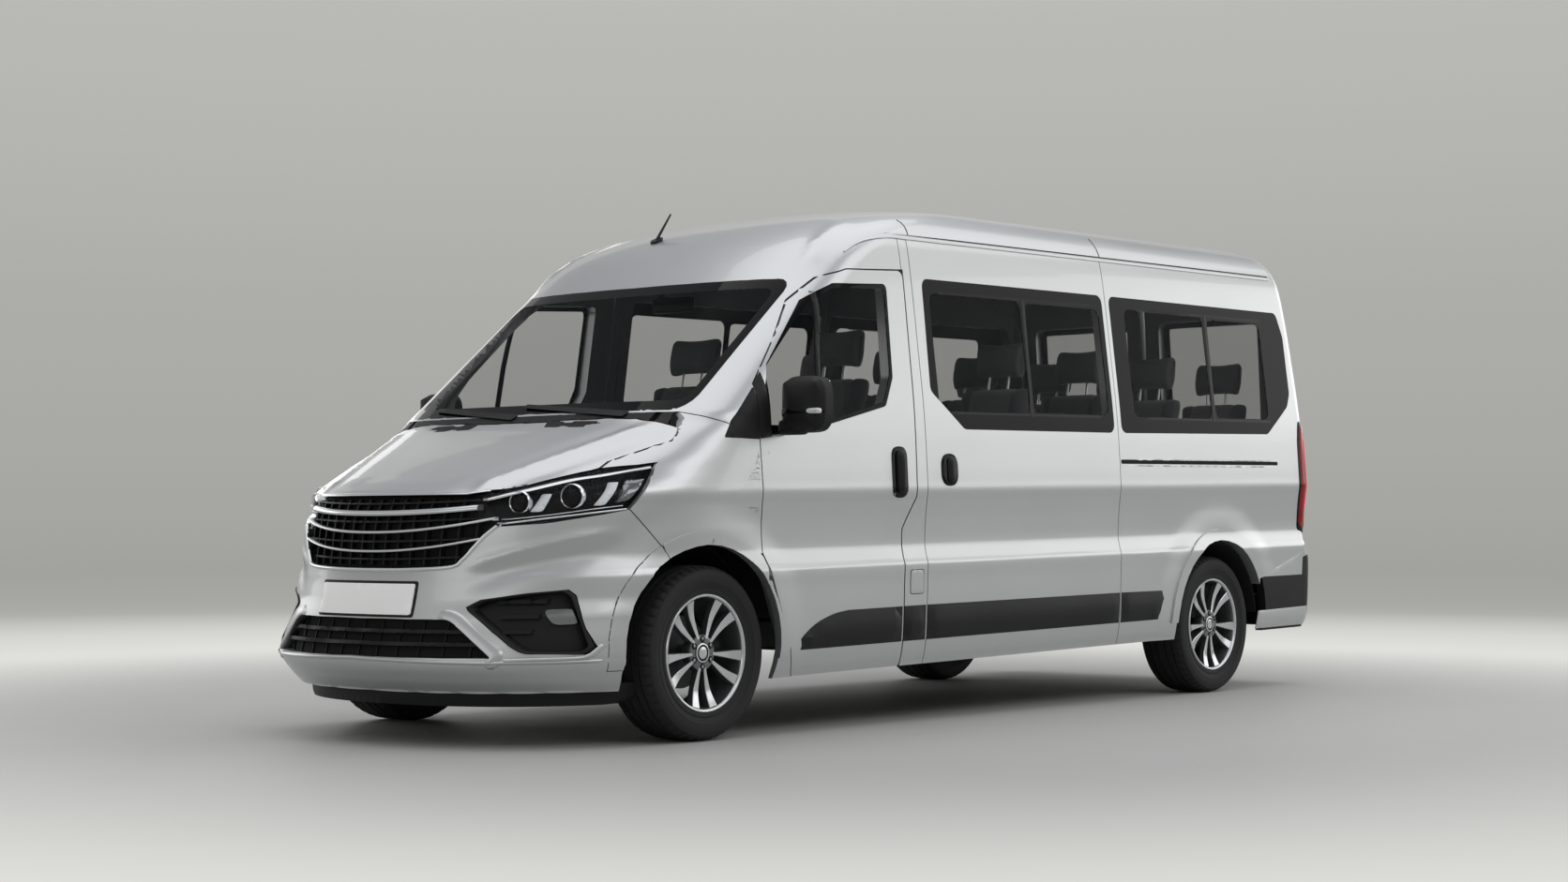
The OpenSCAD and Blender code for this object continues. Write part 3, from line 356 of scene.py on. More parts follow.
@dataclass
class SkinPanel:
    """A body panel: the outline of its CAD node, on the smooth skin.

    Attributes:
        node_name: CAD node that the panel stands for.
        body: Body that it rides on.
        grid: Largest spacing of its points along X, Y and height; 0 leaves an axis alone.
        out: Distance of its outer face outside the skin.
        reach: Faces whose points lie deeper than this are inner faces.
        thick: Thickness of a pane whose inner face follows the skin too, or 0.
        relief: Height that the outer face has above the skin, by place.
        flare: Height of the raised lips round the wheels.
        cap: Height above which points stay where the CAD has them.
    """

    node_name: str
    body: str
    grid: Triple = (0.0, 0.0, 0.025)
    out: float = 0.0
    reach: float = 0.013
    thick: float = 0.0
    relief: Callable[[Array], Array] | None = None
    flare: float = 0.008
    cap: float = 2.2

    def build(self, material: bpy.types.Material, lining: bpy.types.Material, slot: str) -> Obj:
        """Makes the panel and lets it stand for its node.

        Args:
            material: Finish of its outside and edges.
            lining: Finish of its inside.
            slot: Material slot of the record.

        Returns:
            The panel.
        """
        form = bmesh.new()
        form.from_mesh(node(self.node_name).data)
        bmesh.ops.remove_doubles(form, verts=form.verts[:], dist=1e-5)
        self._divide(form)
        bmesh.ops.triangulate(form, faces=form.faces[:])
        mesh = bpy.data.meshes.new(self.node_name + "_panel")
        form.to_mesh(mesh)
        form.free()
        self._fit(mesh)
        mesh.materials.append(material)
        mesh.materials.append(lining)
        panel = new_object(self.node_name + "_panel", mesh)
        return settled(panel, self.body, slot, self.node_name)

    def _divide(self, form: bmesh.types.BMesh) -> None:
        """Cuts the copied mesh into cells no larger than the grid.

        Args:
            form: The copied mesh.
        """
        points = np.array([v.co for v in form.verts])
        heights = SKIN.height_of(points)
        for axis in (0, 1):
            if self.grid[axis]:
                low, high = points[:, axis].min(), points[:, axis].max()
                for i in range(1, int((high - low) / self.grid[axis]) + 1):
                    bisect(form, axis, low + i * self.grid[axis])
        marks = list(SKIN.heights)
        for low, high in zip(marks[:-1], marks[1:]):
            parts = max(1, math.ceil((high - low) / self.grid[2]))
            for i in range(parts):
                height = low + (high - low) * i / parts
                if heights.min() < height < heights.max():
                    bisect(form, 2, height)

    def _fit(self, mesh: bpy.types.Mesh) -> None:
        """Moves the outer points onto the smooth skin and gives the faces their normals.

        Args:
            mesh: The panel's mesh.
        """
        points = mesh_points(mesh)
        count = len(mesh.polygons)
        corners = np.empty(count * 3, int)
        mesh.polygons.foreach_get("vertices", corners)
        corners = corners.reshape(-1, 3)
        flat = np.empty(count * 3)
        mesh.polygons.foreach_get("normal", flat)
        facing = flat.reshape(-1, 3)
        middle = points[corners].mean(1)
        lean = np.einsum("ij,ij->i", facing, SKIN.normals(middle))
        away = SKIN.outside(points)
        deep = -away[corners].min(1)
        outer = (lean > 0.6) & (deep < self.reach - self.out)
        inner = (lean < -0.6) & (self.thick > 0)
        is_outer = np.zeros(len(points), bool)
        is_outer[corners[outer]] = True
        is_inner = np.zeros(len(points), bool)
        is_inner[corners[inner]] = True
        is_inner &= ~is_outer
        aim = self.out + np.where(away > 0.004, self.flare, 0.0)
        below_cap = SKIN.height_of(points) < self.cap
        for chosen, goal in ((is_outer & below_cap, aim), (is_inner & below_cap, aim - self.thick)):
            if goal is aim or self.thick:
                moved = SKIN.settle(points[chosen], goal[chosen])
                kept = np.linalg.norm(moved - points[chosen], axis=1) > 0.03
                moved[kept] = points[chosen][kept]
                points[chosen] = moved
        smooth = SKIN.normals(points)
        smooth[SKIN.height_of(points) > 2.2365] = (SKIN.rake, 0.0, 1.0)
        if self.relief is not None:
            points, smooth = self._raise(points, smooth, is_outer)
        mesh.vertices.foreach_set("co", points.ravel())
        mesh.update()
        mesh.polygons.foreach_get("normal", flat)
        loops = np.repeat(flat.reshape(-1, 3), 3, axis=0)
        for chosen, sign in ((outer, 1.0), (inner, -1.0)):
            pick = np.repeat(chosen, 3)
            loops[pick] = sign * smooth[corners.ravel()[pick]]
        mesh.polygons.foreach_set("use_smooth", np.ones(count, bool))
        mesh.normals_split_custom_set(loops.tolist())
        mesh.polygons.foreach_set("material_index", (lean < -0.5).astype(np.int32))

    def _raise(self, points: Array, smooth: Array, chosen: Array) -> tuple[Array, Array]:
        """Adds the panel's own relief to the chosen points.

        Args:
            points: All points of the panel, on the skin.
            smooth: Skin normals there.
            chosen: Which points are on the outer face.

        Returns:
            The points and normals with the relief.
        """
        reach = 0.004
        height = self.relief(points)
        one = np.cross(smooth, np.array([0.0, 0.0, 1.0]))
        one /= np.maximum(np.linalg.norm(one, axis=1), 1e-9)[:, None]
        two = np.cross(smooth, one)
        tilted = smooth.copy()
        for way in (one, two):
            slope = (self.relief(points + way * reach) - self.relief(points - way * reach)) / (2 * reach)
            tilted -= way * slope[:, None]
        tilted /= np.linalg.norm(tilted, axis=1)[:, None]
        moved = points.copy()
        moved[chosen] += smooth[chosen] * height[chosen, None]
        return moved, tilted


# Finishes


def fill(made: bpy.types.Node, **values: object) -> bpy.types.Node:
    """Sets a node's values, and links the sockets among them.

    Args:
        made: The node.
        values: Attributes, or inputs where the name is one.

    Returns:
        The node.
    """
    for name, value in values.items():
        word = name.replace("_", " ")
        if isinstance(value, bpy.types.NodeSocket):
            made.id_data.links.new(value, made.inputs[word])
        elif hasattr(made, name):
            setattr(made, name, value)
        else:
            made.inputs[word].default_value = value
    return made


def add(tree: Tree, kind: str, **values: object) -> bpy.types.Node:
    """Adds a node of some kind and fills it."""
    return fill(tree.nodes.new(kind), **values)


def maths(tree: Tree, work: str, *terms: object) -> Socket:
    """Adds a Math node over sockets and numbers.

    Args:
        tree: Node tree to add to.
        work: Operation.
        terms: Sockets or numbers, in order.

    Returns:
        The result's socket.
    """
    made = add(tree, "ShaderNodeMath", operation=work)
    for i, term in enumerate(terms):
        if isinstance(term, bpy.types.NodeSocket):
            tree.links.new(term, made.inputs[i])
        else:
            made.inputs[i].default_value = term
    return made.outputs[0]


def new_group(name: str, inputs: dict[str, float]) -> tuple[Tree, bpy.types.NodeOutputs, Socket]:
    """Empty shader group with value inputs.

    Args:
        name: Name of the group.
        inputs: Input names with their usual values.

    Returns:
        The group, its input sockets and the Object coordinates in it.
    """
    tree = bpy.data.node_groups.new(name, "ShaderNodeTree")
    for word, value in inputs.items():
        socket = tree.interface.new_socket(word, in_out="INPUT", socket_type="NodeSocketFloat")
        socket.default_value = value
    return tree, add(tree, "NodeGroupInput").outputs, add(tree, "ShaderNodeTexCoord").outputs["Object"]


def give(tree: Tree, **results: Socket) -> Tree:
    """Lets a group give out the named results.

    Args:
        tree: The group.
        results: Sockets by the name of their output.

    Returns:
        The group.
    """
    for word in results:
        tree.interface.new_socket(word, in_out="OUTPUT", socket_type="NodeSocketFloat")
    add(tree, "NodeGroupOutput", **results)
    return tree


@cache
def surface_grain() -> Tree:
    """Shared effect: fine moulded grain and slow patches of gloss, from Object coordinates.

    Returns:
        The group, with Height and Patch.
    """
    tree, inlet, place = new_group("surface_grain", {"Scale": 900.0, "Patch Scale": 3.0})
    fine = add(tree, "ShaderNodeTexNoise", Detail=2.0, Vector=place, Scale=inlet["Scale"])
    slow = add(tree, "ShaderNodeTexNoise", Detail=3.0, Vector=place, Scale=inlet["Patch Scale"])
    return give(tree, Height=fine.outputs["Fac"], Patch=slow.outputs["Fac"])


@cache
def cloth_weave() -> Tree:
    """Shared effect: crossed threads, from Object coordinates.

    Returns:
        The group, with Height and Patch.
    """
    tree, inlet, place = new_group("cloth_weave", {"Scale": 180.0, "Patch Scale": 40.0})
    thread = {"Distortion": 0.6, "Detail": 1.0, "Vector": place, "Scale": inlet["Scale"]}
    x, y, z = (add(tree, "ShaderNodeTexWave", bands_direction=way, **thread).outputs["Fac"] for way in "XYZ")
    woven = maths(tree, "MULTIPLY", maths(tree, "ADD", x, z), y)
    slow = add(tree, "ShaderNodeTexNoise", Detail=4.0, Vector=place, Scale=inlet["Patch Scale"])
    return give(tree, Height=woven, Patch=slow.outputs["Fac"])


@cache
def clear_field() -> Tree:
    """Shared effect: mask of a field with round corners in the side view, from Object coordinates.

    Returns:
        The group, with Mask.
    """
    inputs = {"Rear": -1.0, "Bottom": 1.3, "Front": 0.0, "Top": 1.8, "Corner": 0.045}
    tree, inlet, place = new_group("clear_field", inputs)
    split = add(tree, "ShaderNodeSeparateXYZ", Vector=place).outputs
    height = maths(tree, "MULTIPLY_ADD", split["X"], SKIN.rake, split["Z"])
    past = []
    for value, low, high in ((split["X"], "Rear", "Front"), (height, "Bottom", "Top")):
        under = maths(tree, "SUBTRACT", inlet[low], value)
        over = maths(tree, "SUBTRACT", value, inlet[high])
        past.append(maths(tree, "ADD", maths(tree, "MAXIMUM", under, over), inlet["Corner"]))
    wide = [maths(tree, "MAXIMUM", p, 0.0) for p in past]
    square = maths(tree, "MULTIPLY_ADD", wide[0], wide[0], maths(tree, "MULTIPLY", wide[1], wide[1]))
    inside = maths(tree, "MINIMUM", maths(tree, "MAXIMUM", past[0], past[1]), 0.0)
    far = maths(tree, "SUBTRACT", maths(tree, "ADD", maths(tree, "SQRT", square), inside), inlet["Corner"])
    mask = add(tree, "ShaderNodeMapRange", From_Min=0.0012, From_Max=-0.0012, Value=far)
    return give(tree, Mask=mask.outputs["Result"])


def new_material(name: str) -> tuple[bpy.types.Material, Tree, bpy.types.Node]:
    """Material of that name, its nodes and its shader."""
    made = bpy.data.materials.new("van_" + name)
    made.use_nodes = True
    return made, made.node_tree, made.node_tree.nodes["Principled BSDF"]


@dataclass(frozen=True)
class Finish:
    """A finish with grain: colour, gloss, how they change over the surface, and its usual slot."""

    name: str
    colour: Triple
    roughness: float = 0.5
    metallic: float = 0.0
    coat: float = 0.0
    vary: float = 0.06
    grain: float = 0.0
    grain_scale: float = 900.0
    patch_scale: float = 3.0
    woven: bool = False
    alpha: float = 1.0
    sheen: float = 0.0
    glow: float = 0.0
    shine: float = 0.5
    slot: str = "black_plastic"

    @cache
    def material(self) -> bpy.types.Material:
        """The finish as a material, built once.

        Returns:
            The material.
        """
        made, tree, shader = new_material(self.name)
        effect = cloth_weave() if self.woven else surface_grain()
        scales = {"Scale": self.grain_scale, "Patch_Scale": self.patch_scale}
        grain = add(tree, "ShaderNodeGroup", node_tree=effect, **scales).outputs
        shade = add(tree, "ShaderNodeMapRange", To_Min=1 - self.vary, To_Max=1 + self.vary,
                    Value=grain["Patch"])
        tint = add(tree, "ShaderNodeMix", data_type="RGBA", blend_type="MULTIPLY", Factor=1.0)
        tint.inputs[6].default_value = (*self.colour, 1.0)
        tree.links.new(shade.outputs["Result"], tint.inputs[7])
        dull, gloss = min(1.0, self.roughness * 1.12), self.roughness * 0.88
        rough = add(tree, "ShaderNodeMapRange", To_Min=gloss, To_Max=dull, Value=grain["Patch"])
        fill(shader, Metallic=self.metallic, Coat_Weight=self.coat, Coat_Roughness=0.04, Alpha=self.alpha,
             Sheen_Weight=self.sheen, Specular_IOR_Level=self.shine, Base_Color=tint.outputs[2],
             Roughness=rough.outputs["Result"])
        if self.glow:
            fill(shader, Emission_Color=(*self.colour, 1.0), Emission_Strength=self.glow)
        if self.grain:
            bump = add(tree, "ShaderNodeBump", Strength=self.grain, Distance=0.001, Height=grain["Height"])
            fill(shader, Normal=bump.outputs["Normal"])
        return made


@dataclass(frozen=True)
class GlassFinish:
    """Tinted glass with a black printed border.

    Attributes:
        name: Name of the material.
        tint: Colour of the clear part.
        solid: How much of the light the clear part keeps back.
        border: Width of the border, on the pane's own edge attribute, or 0.
        fields: Clear fields in the side view: rear, bottom, front, top.
    """

    name: str
    tint: Triple
    solid: float
    border: float = 0.0
    fields: tuple[tuple[float, float, float, float], ...] = ()

    @cache
    def material(self) -> bpy.types.Material:
        """The finish as a material, built once.

        Returns:
            The material.
        """
        made, tree, shader = new_material(self.name)
        mask = self._mask(tree)
        colour = add(tree, "ShaderNodeMix", data_type="RGBA", Factor=mask)
        colour.inputs[6].default_value = (0.006, 0.006, 0.007, 1.0)
        colour.inputs[7].default_value = (*self.tint, 1.0)
        clear = add(tree, "ShaderNodeMapRange", To_Min=1.0, To_Max=self.solid, Value=mask)
        fill(shader, Roughness=0.02, IOR=1.45, Specular_IOR_Level=0.09, Base_Color=colour.outputs[2],
             Alpha=clear.outputs["Result"])
        return made

    def _mask(self, tree: Tree) -> Socket:
        """Where the pane is clear.

        Args:
            tree: Nodes of the material.

        Returns:
            The mask's socket.
        """
        if not self.fields:
            edge = add(tree, "ShaderNodeAttribute", attribute_name="edge").outputs["Fac"]
            span = {"From_Min": self.border - 0.001, "From_Max": self.border + 0.001}
            return add(tree, "ShaderNodeMapRange", Value=edge, **span).outputs["Result"]
        found = None
        for field in self.fields:
            sides = dict(zip(("Rear", "Bottom", "Front", "Top"), field))
            one = add(tree, "ShaderNodeGroup", node_tree=clear_field(), **sides).outputs["Mask"]
            found = one if found is None else maths(tree, "MAXIMUM", found, one)
        return found


PAINT = Finish("silver_paint", (0.57, 0.58, 0.59), 0.36, 0.85, 0.6, 0.012, 0.006, 2600.0, 2.0,
               slot="silver_paint")
BLACK_PLASTIC = Finish("black_plastic", (0.011, 0.011, 0.012), 0.5, grain=0.2, shine=0.25)
GLOSS_BLACK = Finish("gloss_black", (0.006, 0.006, 0.007), 0.16, coat=0.05, shine=0.12)
# Near black for painted shade: the sheets behind grille and intake, rail slot, hood vents, gutter, wheel
# houses, nut seats and lamp insides; also for dark seams.
SHADOW_BLACK = Finish("seam_black", (0.004, 0.004, 0.004), 0.9)
CABIN_PLASTIC = Finish("cabin_plastic", (0.045, 0.045, 0.048), 0.6, grain=0.3)
LINING = Finish("cabin_lining", (0.2, 0.2, 0.205), 0.85, vary=0.08, grain=0.4, grain_scale=500.0)
CLOTH = Finish("seat_cloth", (0.15, 0.153, 0.16), 0.92, vary=0.22, grain=0.5, grain_scale=190.0,
               patch_scale=45.0, woven=True, sheen=0.25)
CLOTH_SIDE = Finish("seat_side_cloth", (0.09, 0.092, 0.098), 0.85, vary=0.15, grain=0.4, grain_scale=260.0,
                    patch_scale=30.0, woven=True, sheen=0.2)
TYRE = Finish("tyre_rubber", (0.011, 0.011, 0.012), 0.75, vary=0.15, grain=0.3)
ALLOY = Finish("rim_alloy", (0.66, 0.67, 0.69), 0.22, 0.92, 0.5, 0.03, 0.03)
WHEEL_GREY = Finish("wheel_grey", (0.16, 0.165, 0.17), 0.35, 0.75, 0.5, 0.05, 0.03)
CHASSIS = Finish("chassis_steel", (0.02, 0.02, 0.022), 0.6, 0.3, vary=0.2, grain=0.2)
CAST = Finish("cast_metal", (0.12, 0.12, 0.125), 0.55, 0.7, vary=0.2, grain=0.4)
CHROME = Finish("bright_trim", (0.74, 0.75, 0.77), 0.2, 1.0, vary=0.02, slot="rim_alloy")
DARK_CHROME = Finish("dark_trim", (0.25, 0.255, 0.265), 0.16, 1.0, vary=0.03, slot="rim_alloy")
LENS_RED = Finish("lamp_red", (0.26, 0.003, 0.006), 0.12, coat=0.2, vary=0.1, patch_scale=30.0, glow=0.12,
                  shine=0.25, slot="lamp_red")
LAMP_STRIP = Finish("lamp_strip", (0.72, 0.008, 0.014), 0.2, vary=0.02, glow=0.6, shine=0.25, slot="lamp_red")
LENS_AMBER = Finish("lamp_amber", (0.55, 0.16, 0.01), 0.12, coat=1.0, vary=0.1, patch_scale=30.0,
                    slot="lamp_red")
LENS_WHITE = Finish("lamp_white", (0.75, 0.77, 0.8), 0.1, coat=1.0, vary=0.05, patch_scale=30.0,
                    slot="lamp_red")
LENS_CLEAR = Finish("lamp_clear", (0.04, 0.043, 0.046), 0.02, coat=1.0, vary=0.01, alpha=0.07,
                    slot="lamp_clear")
BLADE_WHITE = Finish("lamp_blade", (0.82, 0.84, 0.87), 0.25, vary=0.02, glow=0.12)
MIRROR_GLASS = Finish("mirror_glass", (0.8, 0.81, 0.82), 0.02, 1.0, vary=0.01, slot="rim_alloy")
# White plate with a slight glow: painted light, for the plate is no lamp.
PAINTED_GLOW_PLATE_WHITE = Finish("plate_white", (0.93, 0.93, 0.92), 0.4, coat=0.3, vary=0.02, grain=0.05, glow=0.15)
WIDE_TINT = (0.02, 0.022, 0.024)
SIDE_GLASS = GlassFinish("side_glass_tint", WIDE_TINT, 0.15, fields=(
    (-0.262, 1.312, 0.415, 1.822), (-0.905, 1.318, -0.288, 1.812),
    (-1.84, 1.312, -1.125, 1.826), (-2.4, 1.32, -1.875, 1.81)))
DOOR_GLASS = GlassFinish("door_glass_tint", WIDE_TINT, 0.12, 0.016)
SCREEN_GLASS = GlassFinish("screen_glass_tint", (0.03, 0.034, 0.036), 0.09, 0.042)
REAR_GLASS = GlassFinish("rear_glass_tint", WIDE_TINT, 0.25, 0.032)


# Modelling


def pick(obj: Obj) -> None:
    """Selects one object alone."""
    bpy.ops.object.select_all(action="DESELECT")
    obj.select_set(True)
    bpy.context.view_layer.objects.active = obj


def apply_modifiers(obj: Obj) -> None:
    """Applies every modifier of an object, in order."""
    pick(obj)
    for modifier in list(obj.modifiers):
        bpy.ops.object.modifier_apply(modifier=modifier.name)


def soften(obj: Obj, angle: float = 40.0) -> None:
    """Shades smooth across edges flatter than an angle in degrees."""
    pick(obj)
    bpy.ops.object.shade_smooth_by_angle(angle=math.radians(angle))


def round_edges(obj: Obj, width: float, segments: int = 3) -> Obj:
    """Rounds the sharp edges of an object.

    Args:
        obj: The object.
        width: Width of the rounding.
        segments: Its steps.

    Returns:
        The object.
    """
    bevel = obj.modifiers.new("round", "BEVEL")
    bevel.width = width
    bevel.segments = segments
    bevel.limit_method = "ANGLE"
    bevel.angle_limit = math.radians(30)
    apply_modifiers(obj)
    soften(obj)
    return obj


def block(name: str, low: Sequence[float], high: Sequence[float], bevel: float = 0.006) -> Obj:
    """Box with rounded edges.

    Args:
        name: Name of the piece.
        low: Lowest corner.
        high: Highest corner.
        bevel: Width of the rounding.

    Returns:
        The box, with its place in its mesh.
    """
    bpy.ops.object.select_all(action="DESELECT")
    middle = [(a + b) / 2 for a, b in zip(low, high)]
    bpy.ops.mesh.primitive_cube_add(size=1.0, location=middle)
    made = bpy.context.object
    made.name = name
    made.scale = [b - a for a, b in zip(low, high)]
    bpy.ops.object.transform_apply(location=True, rotation=True, scale=True)
    return round_edges(made, bevel)


def edit_all(obj: Obj, *works: Callable[[], object]) -> None:
    """Does some works of edit mode, each with all of an object selected.

    Args:
        obj: The object.
        works: The works, in order.
    """
    pick(obj)
    bpy.ops.object.mode_set(mode="EDIT")
    for work in works:
        bpy.ops.mesh.select_all(action="SELECT")
        work()
    bpy.ops.object.mode_set(mode="OBJECT")


def spun(name: str, profile: Outline, steps: int, closed: bool = True) -> Obj:
    """Turned form round the Z axis.

    Args:
        name: Name of the piece.
        profile: Radius and height of each point.
        steps: Parts of a full turn.
        closed: Whether the profile is a loop.

    Returns:
        The turned object.
    """
    count = len(profile)
    mesh = bpy.data.meshes.new(name)
    edges = [(i, i + 1) for i in range(count - 1)] + ([(count - 1, 0)] if closed else [])
    mesh.from_pydata([(r, 0.0, h) for r, h in profile], edges, [])
    made = new_object(name, mesh)
    edit_all(
        made,
        lambda: bpy.ops.mesh.spin(steps=steps, angle=2 * math.pi, center=(0, 0, 0), axis=(0, 0, 1)),
        lambda: bpy.ops.mesh.remove_doubles(threshold=1e-5),
        lambda: bpy.ops.mesh.normals_make_consistent(inside=False),
    )
    return made


def turned(obj: Obj, place: Sequence[float], aim: Sequence[float]) -> Obj:
    """Moves a form from the origin to a place and turns its Z axis to a direction, in its mesh."""
    turn = Vector(aim).to_track_quat("Z", "Y").to_matrix().to_4x4()
    obj.data.transform(Matrix.Translation(place) @ turn)
    return obj


def joined(name: str, pieces: Sequence[Obj]) -> Obj:
    """Joins objects into the first, under a new name.

    Args:
        name: Name of the piece.
        pieces: The objects.

    Returns:
        The first object.
    """
    pick(pieces[0])
    for piece in pieces[1:]:
        piece.select_set(True)
    if len(pieces) > 1:
        bpy.ops.object.join()
    pieces[0].name = name
    pieces[0].data.name = name
    return pieces[0]


def coat(obj: Obj, finish: Finish | GlassFinish) -> Obj:
    """Gives an object one finish all over."""
    obj.data.materials.clear()
    obj.data.materials.append(finish.material())
    return obj


def settled(obj: Obj, body: str, slot: str, *nodes: str) -> Obj:
    """Lets a finished piece ride on a body and stand for CAD nodes.

    Args:
        obj: The piece.
        body: Body that it rides on.
        slot: Material slot of the record; not used.
        nodes: CAD nodes that it replaces.

    Returns:
        The piece.
    """
    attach(obj, body)
    if nodes:
        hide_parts(*nodes)
    LOG.info("%s: %d faces", obj.name, len(obj.data.polygons))
    return obj


def dressed(obj: Obj, finish: Finish, body: str = "body", slot: str = "") -> Obj:
    """Gives a piece its finish, and settles it on a body."""
    return settled(coat(obj, finish), body, slot or finish.slot)


def rounded(points: Outline, radius: float | Sequence[float], steps: int = 5) -> Points:
    """Outline with its corners rounded.

    Args:
        points: Corners in order.
        radius: One radius, or one for each corner.
        steps: Parts of each rounded corner.

    Returns:
        The points of the rounded outline.
    """
    corners = [np.array(p, float) for p in points]
    sizes = [radius] * len(corners) if isinstance(radius, (int, float)) else list(radius)
    found: Points = []
    for i, corner in enumerate(corners):
        before, after = corners[i - 1] - corner, corners[(i + 1) % len(corners)] - corner
        far_before, far_after = np.linalg.norm(before), np.linalg.norm(after)
        cut = min(sizes[i], 0.48 * far_before, 0.48 * far_after)
        if cut <= 0:
            found.append((corner[0], corner[1]))
            continue
        start, end = corner + before / far_before * cut, corner + after / far_after * cut
        for k in range(steps + 1):
            t = k / steps
            point = (1 - t) ** 2 * start + 2 * t * (1 - t) * corner + t * t * end
            found.append((float(point[0]), float(point[1])))
    return found


def oblong(x0: float, z0: float, x1: float, z1: float, radius: float = 0.0, steps: int = 5) -> Points:
    """Outline of a rectangle between two corners, rounded by some radius."""
    return rounded([(x0, z0), (x1, z0), (x1, z1), (x0, z1)], radius, steps)


def mirrored(points: Outline, sign: float) -> Points:
    """Outline on the side of that sign."""
    return [(sign * y, z) for y, z in points]


def band(path: Outline, width: float | Sequence[float]) -> Points:
    """Outline of a strip along a path.

    Args:
        path: Points along its middle.
        width: One width, or one for each point.

    Returns:
        The outline.
    """
    half = np.asarray(width) / 2
    return [tuple(p) for p in np.vstack((offset(path, half, False), offset(path, -half, False)[::-1]))]


def curve(points: Outline, steps: int = 6) -> Points:
    """Smooth path through points.

    Args:
        points: Points in order.
        steps: Parts between two points.

    Returns:
        The path.
    """
    line = np.array(points, float)
    ends = np.vstack((2 * line[0] - line[1], line, 2 * line[-1] - line[-2]))
    found = []
    for i in range(1, len(ends) - 2):
        a, b, c, d = ends[i - 1 : i + 3]
        for k in range(steps):
            t = k / steps
            bend, twist = 2 * a - 5 * b + 4 * c - d, 3 * b - a - 3 * c + d
            found.append(tuple(0.5 * (2 * b + (c - a) * t + bend * t**2 + twist * t**3)))
    return found + [tuple(line[-1])]


def from_outline(points: Array, outline: Array) -> Array:
    """Distance of each point from a closed outline, in its plane.

    Args:
        points: Points in the plane.
        outline: Corners in order.

    Returns:
        The distances.
    """
    start, end = outline, np.roll(outline, -1, axis=0)
    far = np.full(len(points), np.inf)
    for a, b in zip(start, end):
        line = b - a
        t = np.clip((points - a) @ line / max(line @ line, 1e-12), 0, 1)
        far = np.minimum(far, np.linalg.norm(points - a - t[:, None] * line, axis=1))
    return far


def from_faces(
    name: str, points: Sequence[Sequence[float]], faces: Sequence[tuple[int, ...]], angle: float = 50.0
) -> Obj:
    """Closed object from points and faces, with its normals outwards.

    Args:
        name: Name of the piece.
        points: Its points.
        faces: Point numbers of each face.
        angle: Sharpest edge that is shaded smooth.

    Returns:
        The object.
    """
    mesh = bpy.data.meshes.new(name)
    mesh.from_pydata(points, [], faces)
    made = new_object(name, mesh)
    edit_all(made, lambda: bpy.ops.mesh.normals_make_consistent(inside=False))
    soften(made, angle)
    return made


def strip_faces(rows: int, count: int, closed: bool) -> list[tuple[int, ...]]:
    """Faces of a strip whose rows of points run along it, all round.

    Args:
        rows: Number of rows.
        count: Points in each row.
        closed: Whether each row is a loop; otherwise both ends are closed by a face.

    Returns:
        Point numbers of each face.
    """
    faces = []
    for row in range(rows):
        here, below = row * count, (row + 1) % rows * count
        for k in range(count if closed else count - 1):
            after = (k + 1) % count
            faces.append((here + k, here + after, below + after, below + k))
    if not closed:
        faces += [tuple(row * count + end for row in range(rows)) for end in (0, count - 1)]
    return faces


def tube_faces(rows: int, count: int) -> list[tuple[int, ...]]:
    """Faces of a tube with closed ends, whose rows of points each run round it.

    Args:
        rows: Number of rows.
        count: Points in each row.

    Returns:
        Point numbers of each face.
    """
    faces = [tuple(range(count)), tuple(range((rows - 1) * count, rows * count))]
    for i in range(rows - 1):
        for k in range(count):
            a, b = i * count + k, i * count + (k + 1) % count
            faces.append((a, a + count, b + count, b))
    return faces


def lofted(name: str, rows: Sequence[tuple[Array, float]], closed: bool, **where: object) -> Obj:
    """Closed strip on the skin, drawn through rows of points.

    Args:
        name: Name of the piece.
        rows: Points across and in height, with their distance above the skin, all round the strip.
        closed: Whether each row is a loop.
        where: View, and sign of the side, from which the rows are drawn.

    Returns:
        The strip.
    """
    count = len(rows[0][0])
    points = np.vstack([SKIN.seen(r[:, 0], r[:, 1], np.full(count, out), **where) for r, out in rows])
    faces = strip_faces(len(rows), count, closed)
    return from_faces(name, points.tolist(), faces)


def offset(path: Array, away: float | Array, closed: bool) -> Array:
    """Path moved to its left by some distance.

    Args:
        path: Points in order.
        away: One distance, or one for each point.
        closed: Whether the path is a loop.

    Returns:
        The moved path.
    """
    line = np.array(path, float)
    along = np.gradient(line, axis=0)
    if closed:
        along = np.roll(line, -1, axis=0) - np.roll(line, 1, axis=0)
    along /= np.maximum(np.linalg.norm(along, axis=1), 1e-9)[:, None]
    left = np.column_stack((-along[:, 1], along[:, 0]))
    return line + left * (np.asarray(away) * np.ones(len(line)))[:, None]


def strip(
    name: str, path: Outline, width: float | Array, out: float, crown: float,
    depth: float, **where: object,
) -> Obj:
    """Crowned strip along a path on the skin.

    Args:
        name: Name of the piece.
        path: Points along its middle.
        width: One width, or one for each point.
        out: Height of its edges above the skin.
        crown: Height of its middle above its edges.
        depth: How far its sides reach down.
        where: View, and sign of the side, from which the path is drawn.

    Returns:
        The strip.
    """
    half = ((0.5, -depth), (0.5, 0.0), (0.38, crown * 0.72), (0.14, crown))
    shape = mirrored(half, -1) + list(half[::-1])
    rows = [(offset(path, np.asarray(width) * part, False), out + rise) for part, rise in shape]
    return lofted(name, rows, False, **where)


